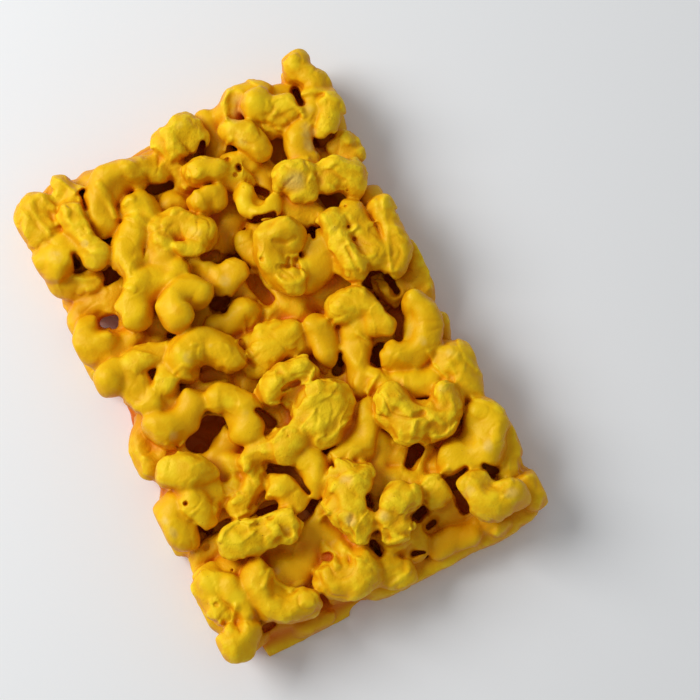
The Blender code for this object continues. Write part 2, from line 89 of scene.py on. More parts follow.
# Each nut, in millimetres: where its thick end, its bend and its thin end lie, the height
# of its middle, its thickness, how far its thin end rises above its thick end, and its skin
NORTH: tuple[Row, ...] = (
    ((-52.2, 68.8), (-52.6, 74), (-49.6, 78.3), 17, 11.4, 0, LUMPY),
    ((-37.3, 74.5), (-37.6, 77), (-38.8, 79.6), 17, 10.2, 0, LUMPY),
    ((-28.5, 78.3), (-26, 78.8), (-23.5, 78.2), 11, 8.2, 0, SMOOTH),
    ((-32, 64), (-29.3, 72.8), (-18.5, 74.2), 20, 8.8, 1, SMOOTH),
    ((-15.5, 73), (-12.5, 73), (-10, 71), 17, 11, 0, LUMPY),
    ((-26, 71.5), (-22, 73), (-17, 73), 15.5, 9, 0, SMOOTH),
    ((-1.5, 77), (2.3, 80), (6, 78.5), 20, 11.2, 0, WRINKLED),
    ((-6.5, 73), (-3.5, 71), (-1, 66.5), 16, 9.5, -2, WRINKLED),
    ((14, 79.5), (14, 76), (13, 71), 13, 9.5, -2, SMOOTH),
    ((22.5, 79), (27, 82), (33.5, 81), 16, 10.5, 0, LUMPY),
    ((36, 69.5), (38, 71), (40, 70.5), 20, 9, 0, LUMPY),
    ((20, 72.5), (23, 68), (25.5, 63.5), 21, 10, 0, LUMPY),
    ((50.5, 84.5), (51, 80), (53, 74.5), 19, 9, -1, LUMPY),
    ((40, 78.5), (43, 79), (45.5, 78), 14, 7, 0, SMOOTH),
    ((48, 71.5), (52, 72), (55, 69), 20, 6, 0, LUMPY),
)
NORTH_WEST: tuple[Row, ...] = (
    ((-41, 70), (-42, 61), (-40.5, 53), 21, 9, 0, LUMPY),
    ((-53, 57.5), (-51, 59.5), (-48.5, 61), 17, 12.5, 0, SMOOTH),
    ((-54, 51.5), (-50.5, 48), (-45, 47), 13, 9, 0, LUMPY),
    ((-21.5, 61.5), (-19.5, 60.5), (-18.5, 57), 18, 10.5, 0, SMOOTH),
    ((-25.5, 54.5), (-28.5, 51.5), (-29.5, 46.5), 21, 11.5, 0, SMOOTH),
    ((-9, 59), (-8, 58.5), (-7, 57), 14, 9, 0, SMOOTH),
    ((-20, 43.5), (-12, 50), (-5.5, 44), 20, 11, 1, LUMPY),
    ((-13, 41), (-11.5, 40.3), (-10, 39.5), 23, 6, 0, LUMPY),
    ((-54, 36.5), (-50.5, 39.5), (-43, 39.5), 10, 10, 0, SMOOTH),
    ((-36, 30), (-31, 36.3), (-21, 35.7), 21, 11.3, 0, SMOOTH),
    ((-53.5, 31.5), (-53, 27), (-49.5, 24), 16, 10, 0, SMOOTH),
    ((-50.5, 20), (-45, 21.5), (-40, 24), 14, 8.5, 0, SMOOTH),
    ((-25, 21.5), (-22, 27), (-15.5, 25.5), 24, 10, -3, SMOOTH),
    ((-13, 36.5), (-10.5, 33), (-9, 30), 16, 8, 0, SMOOTH),
    ((-5.5, 27), (-3.5, 27.5), (-1.5, 28.5), 18, 10, 2, SMOOTH),
    ((-6, 14), (-4.5, 14.6), (-3, 13.5), 16, 9.5, 0, SMOOTH),
    ((-14, 15.5), (-12, 15), (-10, 13), 16.5, 6, 0, SMOOTH),
)
NORTH_EAST: tuple[Row, ...] = (
    ((3.5, 65), (6, 64.3), (8.5, 62.5), 21, 9.5, 0, LUMPY),
    ((0.5, 54.5), (2.5, 54.5), (4.5, 54), 20, 10, 0, SMOOTH),
    ((11, 60), (13.3, 58), (15, 55.5), 17, 9.5, 0, LUMPY),
    ((14, 64), (18, 62.5), (21, 60), 17, 6, 0, LUMPY),
    ((23, 57), (23, 54.5), (22, 52), 13, 8, 0, SMOOTH),
    ((47, 66.5), (41, 62.5), (38.5, 52), 18, 10.5, 0, SMOOTH),
    ((54, 65.5), (53, 63), (50.5, 60.5), 21, 8.5, 0, WRINKLED),
    ((53.5, 52), (53, 49.5), (53.5, 46.5), 14, 9, 0, WRINKLED),
    ((40.5, 42), (44.5, 41.5), (48.5, 38.5), 20, 10.5, 0, WRINKLED),
    ((30.8, 46.6), (32, 45.4), (31.5, 42.8), 23, 12, 0, WRINKLED),
    ((15, 50.3), (11.2, 46.5), (21.5, 43), 21, 4.9, 0, SMOOTH),
    ((3.5, 52), (5.5, 46), (3.5, 40), 10, 9, 0, SMOOTH),
    ((8, 35.5), (8, 34), (9, 31), 14, 8, 0, SMOOTH),
    ((27, 41), (29, 38), (31, 34), 16, 9, 0, LUMPY),
    ((21.3, 30.6), (11.4, 26.6), (15, 16.2), 23, 11, 0, LUMPY),
    ((20, 16), (26, 17), (29, 23), 18, 11.5, 0, SMOOTH),
    ((34.9, 11), (35.9, 20), (35.4, 29.6), 23, 7.8, 0, WRINKLED),
    ((43.2, 29), (44, 21), (42, 11), 21, 9, 0, LUMPY),
    ((53.5, 25), (51.8, 15), (47.5, 6.5), 20, 9, 0, LUMPY),
    ((52.5, 31.5), (53.5, 29), (54, 26), 13, 9, 0, SMOOTH),
    ((4, 10.5), (8, 9.5), (12, 6), 14, 6, 0, LUMPY),
    ((16, 8), (22, 9), (28, 8.5), 9, 9, 0, SMOOTH),
)
MIDDLE: tuple[Row, ...] = (
    ((-54, 12), (-52, 13), (-50, 14), 20, 8.2, 0, SMOOTH),
    ((-44.5, 13.2), (-40, 14.2), (-35.5, 12.6), 19.5, 8.8, 0, LUMPY),
    ((-46.2, 8), (-46.7, 4.5), (-46.4, 1.8), 18, 9.8, 0, SMOOTH),
    ((-26.5, 9), (-20.5, 10), (-14.5, 1.5), 22, 11, -2, SMOOTH),
    ((-38, 3), (-36.5, 4.5), (-35, 6), 20, 8, 0, LUMPY),
    ((-45, -8.2), (-39, -10), (-32.8, -7), 19, 11, 0, SMOOTH),
    ((-53.5, -17), (-53, -12), (-50, -7), 12, 9.5, 0, LUMPY),
    ((-24, -9.5), (-19.5, -12.5), (-21, -22.5), 20, 9.5, 0, SMOOTH),
    ((-47.5, -24.5), (-44, -25.5), (-40.5, -28.5), 20.5, 11, 0, LUMPY),
    ((-34, -29), (-31.5, -25.5), (-27, -22), 13, 9, 0, SMOOTH),
    ((-4.5, -0.6), (0.5, 0.6), (5.5, -0.6), 16, 14.5, 0, LUMPY),
    ((16.5, -1.8), (16, -6.5), (14.8, -10.5), 18, 9.8, 0, SMOOTH),
    ((27.5, -0.5), (31.5, -2.5), (34, -11), 22, 11.3, 0, LUMPY),
    ((47.8, -9.5), (46.5, -21), (33.5, -22.3), 20, 9.8, 0, SMOOTH),
    ((24.5, -14.5), (21.5, -19.5), (19.8, -25), 17, 9.5, 0, SMOOTH),
    ((54, 9), (54, 4.5), (53.5, 1), 12, 9, 0, WRINKLED),
    ((54, -3.5), (53.5, -5.5), (52.5, -8), 10, 8.5, 0, LUMPY),
    ((52, -17), (52.3, -18.5), (51.5, -20.5), 9, 8.5, 0, LUMPY),
    ((40.6, 1.8), (41, 0), (41.2, -2.6), 9, 7.2, 0, WRINKLED),
    ((22.5, -7), (24.5, -8.5), (27, -10.5), 14, 7.5, 0, SMOOTH),
    ((3, -24), (7, -28), (3, -33), 21, 12.5, 0, WRINKLED),
    ((-8, -14.5), (-1, -12.6), (5, -13.6), 23.5, 9.2, 0, WRINKLED),
    ((-12.5, -32.5), (-8, -32.5), (-4, -31), 20, 11.5, 0, WRINKLED),
    ((-25, -32.5), (-21.5, -31), (-17, -30.5), 19, 8, 0, WRINKLED),
    ((24, -27), (26, -29), (27, -31.5), 18, 8, 0, LUMPY),
)
SOUTH_WEST: tuple[Row, ...] = (
    ((-54.5, -35), (-55.3, -40), (-54.3, -45), 17, 10, 0, SMOOTH),
    ((-46, -37), (-45, -39.5), (-44.5, -41), 18.5, 10.5, 0, LUMPY),
    ((-40, -33.5), (-39.3, -36), (-39.5, -38), 17, 7.5, 0, LUMPY),
    ((-25, -38), (-30, -41), (-35, -43), 17, 8.5, 0, WRINKLED),
    ((-19, -44), (-17.3, -46.5), (-17, -50.5), 18, 9.5, 0, LUMPY),
    ((-6, -40), (-5.7, -44), (-7.5, -48.5), 18, 10.5, 0, SMOOTH),
    ((-39.5, -52.8), (-31, -55.3), (-23, -57), 22, 10, 0, WRINKLED),
    ((-51.5, -60.5), (-53.3, -64.5), (-53.8, -69.5), 17, 11, 0, WRINKLED),
    ((-55, -80.5), (-52.5, -82.5), (-49.5, -80.5), 18, 10.5, 0, LUMPY),
    ((-48, -63), (-47.5, -69), (-46.8, -75), 20, 6.5, 0, SMOOTH),
    ((-39, -66), (-37.5, -76), (-27.5, -81), 19, 11.3, 0, LUMPY),
    ((-30, -67), (-25, -69), (-20.5, -69), 10.5, 11, 0, SMOOTH),
    ((-15.5, -78), (-12, -81.3), (-6.5, -79.5), 17, 12.5, 0, LUMPY),
    ((-16, -61), (-13, -64), (-10, -68), 12, 9, 0, SMOOTH),
    ((-52, -53), (-49.5, -52), (-46, -51), 11, 8, 0, WRINKLED),
)
SOUTH_EAST: tuple[Row, ...] = (
    ((17, -34.5), (12.5, -41.5), (4, -44.5), 17, 9, 0, SMOOTH),
    ((18, -44), (14, -48.5), (9.5, -51), 13, 8, 0, SMOOTH),
    ((26.5, -38), (31, -46), (42, -42.5), 23, 11.5, 0, WRINKLED),
    ((33.5, -31.5), (37, -33), (41, -34.5), 18, 9.5, 0, SMOOTH),
    ((50, -31), (51, -34.5), (52, -40), 18, 11.5, 0, LUMPY),
    ((50.8, -51.5), (50.8, -60.5), (37, -59.8), 19, 11.5, 0, SMOOTH),
    ((54.3, -58), (54.3, -64.5), (51.5, -69.5), 15, 9, 0, LUMPY),
    ((37.5, -71.8), (38.5, -78.5), (46.5, -80), 22, 10, 0, LUMPY),
    ((53.8, -77.5), (54, -80.5), (53.2, -83.3), 13, 9.6, 0, LUMPY),
    ((2, -52.6), (-2.3, -58.5), (-2, -66.5), 21.5, 12, 0, WRINKLED),
    ((14.6, -66), (10, -68.6), (8, -73.4), 22, 11.6, 0, WRINKLED),
    ((25.5, -66), (25.7, -68), (25.3, -69.5), 18, 8, 0, LUMPY),
    ((20, -83.5), (26, -84), (30.5, -84.5), 11, 8.5, 0, SMOOTH),
    ((36, -82.5), (38, -84.5), (39.5, -86), 10, 8, 0, LUMPY),
    ((0.5, -83), (2, -84), (4, -85.5), 14, 9.5, 0, LUMPY),
    ((12, -76), (13, -79), (13, -81), 12, 7, 0, LUMPY),
    ((13, -59), (16, -58.5), (20, -58.5), 13, 5, 0, LUMPY),
    ((5, -56), (8, -58), (10, -60), 10, 8, 0, SMOOTH),
    ((25, -60.5), (28, -60), (31, -59.5), 7, 8, 0, SMOOTH),
    ((27, -57.5), (29, -56.8), (31, -57.5), 9, 7, 0, LUMPY),
    ((19, -74.9), (23.5, -73.6), (28.5, -74.2), 8, 6.6, 0, LUMPY),
    ((22.5, -79), (26, -78.3), (29, -79), 6.5, 6.6, 0, LUMPY),
)
REGIONS = (NORTH, NORTH_WEST, NORTH_EAST, MIDDLE, SOUTH_WEST, SOUTH_EAST)

# The lower nuts along the mould wall, from the middle of the mould
EDGE: tuple[Row, ...] = (
    ((-51.5, 80), (-51, 76), (-50, 71), 6.5, 11, 0, LUMPY),
    ((-52, 63), (-51.5, 58), (-51, 54), 6.5, 11, 0, LUMPY),
    ((-51.5, 47), (-51.5, 42), (-50, 38), 6, 10.5, 0, LUMPY),
    ((-52.5, 25), (-52, 21.5), (-50, 18.5), 6.5, 11, 0, LUMPY),
    ((-51.5, 13.5), (-50.5, 11.5), (-48, 9), 7, 10, 0, LUMPY),
    ((-45, 3), (-45, -1), (-46, -5), 6, 11, 0, LUMPY),
    ((-50.5, -10), (-52, -14), (-51.5, -19), 6, 11, 0, LUMPY),
    ((-47, -24), (-48.5, -28), (-50.5, -32), 6.5, 10, 0, LUMPY),
    ((-53, -36), (-53.5, -41), (-52.5, -46), 6.5, 11, 0, LUMPY),
    ((-49.5, -52), (-49.5, -55), (-50.5, -58), 6, 10.5, 0, LUMPY),
    ((-53, -63), (-53.5, -68), (-53, -73), 6.5, 11, 0, LUMPY),
    ((-52, -78), (-50, -80.5), (-46, -81.5), 8, 10, 0, LUMPY),
    ((-45, 80), (-40, 81.3), (-36, 80.5), 9, 10.6, 0, LUMPY),
    ((-30, 80), (-25, 80.5), (-21, 79.5), 9, 10.5, 0, LUMPY),
    ((-17, 77.5), (-12.5, 78), (-8, 78), 11, 10.5, 0, LUMPY),
    ((-3, 81), (2, 82), (7, 81), 6.5, 11, 0, LUMPY),
    ((13, 80), (16, 79.5), (19, 80), 6, 10, 0, LUMPY),
    ((24, 82), (29, 82.5), (34, 81.5), 6.5, 11, 0, LUMPY),
    ((38.5, 79.5), (42, 79.5), (45, 80), 6, 10, 0, LUMPY),
    ((50, 83), (51.5, 81), (52.5, 77), 6.5, 11, 0, LUMPY),
    ((53, 71), (53.5, 66), (53, 62), 6.5, 11, 0, LUMPY),
    ((52.5, 55), (53, 50), (52.5, 46), 6.5, 11, 0, LUMPY),
    ((49.5, 40), (50, 37.5), (51, 35), 6, 10, 0, LUMPY),
    ((53, 29), (53.5, 24), (53, 20), 6.5, 11, 0, LUMPY),
    ((52.5, 14), (53, 9.5), (53, 5), 6, 11, 0, LUMPY),
    ((52, -1), (52.5, -4.5), (51.5, -8), 6, 10.5, 0, LUMPY),
    ((50.5, -15.5), (51, -18.5), (50.5, -21.5), 6, 10, 0, LUMPY),
    ((52.5, -29), (53, -34), (52.5, -39), 6.5, 11, 0, LUMPY),
    ((50, -45), (50.5, -48), (51.5, -51), 6.5, 10.5, 0, LUMPY),
    ((53, -57), (53.5, -62), (53, -67), 6.5, 11, 0, LUMPY),
    ((52.5, -74), (53, -79), (51, -83.5), 6.5, 10.5, 0, LUMPY),
    ((-40, -78), (-35, -79), (-30, -78.5), 5.5, 10, 0, LUMPY),
    ((-22, -77.5), (-17, -78.5), (-12, -79), 5.5, 10.5, 0, LUMPY),
    ((-33, -85.4), (-28, -86), (-23, -85.2), 3.8, 7, 0, SMOOTH),
    ((-5, -82.5), (0, -84), (5, -83.5), 5.5, 10.5, 0, LUMPY),
    ((10, -84), (13.5, -84.5), (17, -84), 5, 9.5, 0, LUMPY),
    ((21, -84.5), (26, -85), (31, -84.5), 5, 9.5, 0, LUMPY),
    ((36, -84.5), (40, -85), (43.5, -83.5), 5.5, 10, 0, LUMPY),
)

# Rounder lumps on the nuts and in their bends: place, height of the middle, radius, how far
# it is flattened, and skin
LUMPS: tuple[tuple[Place, float, float, float, Skin], ...] = (
    ((30.8, 76.2), 21, 5.7, 1.0, SMOOTH),
    ((28.5, 71.5), 17, 3.4, 1.0, LUMPY),
    ((39.5, 70.5), 20, 6.0, 1.0, LUMPY),
    ((33, 68), 17, 4.6, 1.0, LUMPY),
    ((-39.8, 52), 20.5, 5.4, 1.0, LUMPY),
    ((-41, 72.5), 18, 4.2, 1.0, LUMPY),
    ((-38.7, 82), 17.5, 4.0, 1.0, LUMPY),
    ((-19.5, 45.5), 17, 6.2, 1.0, SMOOTH),
    ((-6, 44.5), 19.5, 6.6, 1.0, LUMPY),
    ((-28.3, 9.8), 21, 6.4, 1.0, SMOOTH),
    ((-28.5, 5), 19.5, 5.0, 1.0, LUMPY),
    ((5, -28.3), 18.5, 10.8, 0.9, WRINKLED),
    ((-11.5, 40.5), 22.5, 3.4, 1.0, LUMPY),
    ((-48.3, -23), 20.5, 4.6, 1.0, LUMPY),
    ((-44.5, -28.5), 19.5, 6.4, 1.0, LUMPY),
    ((-52.5, -61.5), 19.5, 4.8, 1.0, LUMPY),
    ((-37, 2.5), 20.5, 3.8, 1.0, LUMPY),
    ((-44, -0.5), 19, 5.6, 1.0, SMOOTH),
    ((50.5, -30.5), 18.5, 6.2, 1.0, LUMPY),
    ((53, -31), 16.5, 5.4, 1.0, LUMPY),
    ((28.5, -44.5), 21.5, 7.4, 0.9, WRINKLED),
    ((24, -40), 21, 4.6, 1.0, WRINKLED),
    ((42.5, -42.8), 22, 6.0, 0.95, WRINKLED),
    ((31, 46.5), 20.5, 6.2, 1.0, LUMPY),
    ((-8, -80), 15.5, 6.8, 1.0, LUMPY),
    ((-16, -78.5), 16, 6.0, 1.0, LUMPY),
    ((3.6, 80.2), 19, 6.3, 1.0, WRINKLED),
    ((-50, 78.5), 17, 4.8, 1.0, LUMPY),
    ((15, -65.5), 21.5, 5.8, 0.95, WRINKLED),
    ((53.5, 64.8), 20, 4.6, 1.0, WRINKLED),
    ((-58, -78.5), 18, 2.6, 1.0, LUMPY),
    ((48.5, 58.8), 20.5, 2.6, 1.0, LUMPY),
    ((47.3, -79.8), 20.5, 5.4, 1.0, SMOOTH),
    ((50.5, 87), 18.5, 3.6, 1.0, LUMPY),
    ((48.2, 81.5), 18.5, 3.2, 1.0, LUMPY),
    ((30.5, -1), 20, 6.6, 1.0, LUMPY),
    ((26, 1), 20, 4.6, 1.0, LUMPY),
    ((50.5, -54.5), 17.5, 6.4, 1.0, SMOOTH),
    ((54.2, 75.5), 17.5, 4.8, 1.0, LUMPY),
    ((35, 11.5), 21.5, 5.2, 1.0, LUMPY),
    ((-52.9, 13.4), 20.5, 4.9, 1.0, SMOOTH),
    ((-32.8, -5.5), 18, 4.7, 1.0, SMOOTH),
    ((4.5, -13.2), 22, 5.0, 0.9, WRINKLED),
    ((-9, -14.5), 21, 4.6, 0.9, WRINKLED),
    ((42, -29.5), 15, 4.2, 1.0, LUMPY),
    ((21.5, -31.5), 14, 4.0, 1.0, LUMPY),
    ((48.3, -45.3), 15, 3.6, 1.0, LUMPY),
    ((-51, -76), 17, 3.8, 1.0, WRINKLED),
    ((-10.5, -72), 15, 4.2, 1.0, LUMPY),
    ((2.5, -52.6), 21, 5.6, 0.95, WRINKLED),
    ((7.5, -74.5), 17.5, 5.6, 1.0, LUMPY),
    ((35.5, -61.5), 16.5, 4.8, 1.0, SMOOTH),
    ((54.6, -84), 13.5, 4.4, 1.0, LUMPY),
    ((-29.5, -30), 15, 4.6, 1.0, LUMPY),
    ((8, -44.5), 15, 6.0, 1.0, LUMPY),
    ((-4, 15.5), 17, 4.8, 1.0, SMOOTH),
    ((44, 44), 22, 4.6, 0.9, WRINKLED),
    ((50.5, 41), 19, 4.2, 1.0, WRINKLED),
    ((-47, 68), 16, 4.4, 1.0, LUMPY),
    ((-46, 74.5), 16, 4.4, 1.0, LUMPY),
    ((-41, 78.5), 16, 4.7, 1.0, LUMPY),
    ((-39.5, -3.5), 17, 4.6, 1.0, SMOOTH),
    ((-48.5, -14.5), 13, 4.2, 1.0, LUMPY),
    ((-44.5, -58.5), 14, 4.4, 1.0, LUMPY),
    ((-1, -17.5), 18.5, 5.0, 1.0, WRINKLED),
    ((3, -20), 18, 6.0, 1.0, WRINKLED),
    ((-33, -38), 15, 5.5, 1.0, LUMPY),
    ((-26, -36.5), 14.5, 5.0, 1.0, LUMPY),
    ((-33, -46.5), 13.5, 5.0, 1.0, LUMPY),
    ((33.8, -45.4), 21, 6.4, 1.0, LUMPY),
    ((29.3, -46.5), 20.5, 5.6, 1.0, LUMPY),
    ((28, -8), 18, 6.0, 1.0, SMOOTH),
    ((-11, 47.4), 20.5, 5.0, 0.9, LUMPY),
)

# Deep gaps between the nuts, as seen from the camera: both ends, half the width and the
# height of the floor
GAPS: tuple[tuple[Place, Place, float, float], ...] = (
    ((-37.5, -18), (-29.5, -16.5), 4.4, 2.2),
    ((-35.5, -21.5), (-35.5, -20), 2.6, 2.2),
    ((22.3, -56.5), (26.3, -52.8), 2.9, 2.2),
    ((16.5, -73), (19, -72), 1.9, 2.2),
    ((18, -77.4), (20.5, -76.8), 2.0, 3.2),
    ((31.2, -75.2), (31.6, -77.2), 1.7, 3.5),
    ((13.5, 41.3), (19.5, 39.7), 1.9, 3.0),
    ((-11.5, 20), (-7.5, 20.5), 2.0, 2.2),
    ((-9.5, 19), (-9.3, 17.3), 0.9, 3.0),
    ((-13, 66), (-7, 64), 1.7, 3.0),
    ((45.5, 55), (49.3, 56), 1.9, 6.0),
    ((45.3, 70.8), (45.3, 75.5), 1.6, 3.0),
    ((7, 70.5), (9, 73), 2.1, 6.0),
    ((32, 62), (30, 57), 2.4, 7.0),
    ((-40.5, 43.4), (-36.5, 45), 2.2, 3.0),
    ((28, 26.5), (29, 29.5), 1.7, 4.0),
    ((37.2, 4), (38, -2), 1.2, 2.5),
    ((38, -2), (39.8, -7), 1.2, 5.0),
    ((44.3, 3.6), (44.4, -2.5), 1.3, 2.5),
    ((14.8, -17.6), (18, -13.5), 1.4, 4.0),
    ((8.8, -10.3), (11, -15.8), 1.0, 8.0),
    ((29, -18), (28.2, -22), 0.9, 4.0),
    ((29, -18), (31.3, -17.3), 1.2, 4.0),
    ((38, -17.4), (41, -12), 1.8, 4.0),
    ((41, -12), (39.5, -7), 1.3, 5.0),
    ((-20.8, -37.3), (-14, -40.5), 1.1, 6.0),
    ((-14, -40.5), (-11.5, -50), 0.9, 7.0),
    ((-17, -56), (-12, -53.5), 1.9, 4.0),
    ((-45, -47.3), (-38, -46.6), 1.0, 8.0),
    ((-32, -48.4), (-23, -47.5), 1.1, 8.0),
    ((10.2, -82.8), (13.2, -84), 1.4, 4.0),
    ((-22.6, -82), (-22.2, -86), 1.0, 3.0),
    ((-0.2, -74), (0, -78.5), 1.2, 5.0),
    ((4.3, -62.5), (5, -60), 1.1, 8.0),
    ((-0.5, -46), (0.3, -42), 1.0, 9.0),
    ((3, 22), (5, 13.5), 2.4, 9.0),
    ((31.8, -66.5), (37.5, -65.8), 1.5, 5.0),
    ((31.5, -68), (31.5, -76), 1.0, 4.0),
    ((43.5, -67.8), (46.5, -71), 2.2, 7.0),
    ((-36, 70), (-35, 75.5), 1.2, 5.0),
    ((-35, 75.5), (-34, 75.8), 1.5, 5.0),
    ((-47, 53.2), (-46.3, 57), 1.2, 5.0),
    ((-8, 36.5), (-4, 36), 1.4, 9.0),
    ((36.5, 35.8), (42, 36), 1.2, 11.0),
    ((-25, -0.5), (-20, -1.5), 2.4, 12.0),
    ((-12.5, -24), (-14.5, -18), 1.3, 9.0),
    ((18.5, 50), (20.5, 47.5), 1.7, 8.0),
    ((-43.5, -82.8), (-40.5, -82.5), 0.8, 4.0),
    ((-25.8, 45.5), (-24.5, 48), 1.0, 8.0),
)

# Where the table shows between the nuts at the wall, as seen from the camera: both ends and
# half the width
NOTCHES: tuple[tuple[Place, Place, float], ...] = (
    ((-58.6, 5.5), (-58.6, -1), 6.9),
    ((-59.3, -26), (-62, -29), 5.2),
    ((-60.6, -53.5), (-62, -53.5), 4.6),
    ((59, 39), (61, 39), 4.8),
    ((57, -12.5), (60, -12.5), 3.4),
    ((56.3, -24.4), (60, -24.2), 3.4),
    ((58.3, -47.5), (61, -47.5), 3.6),
    ((60.6, -75), (62, -75), 3.8),
)

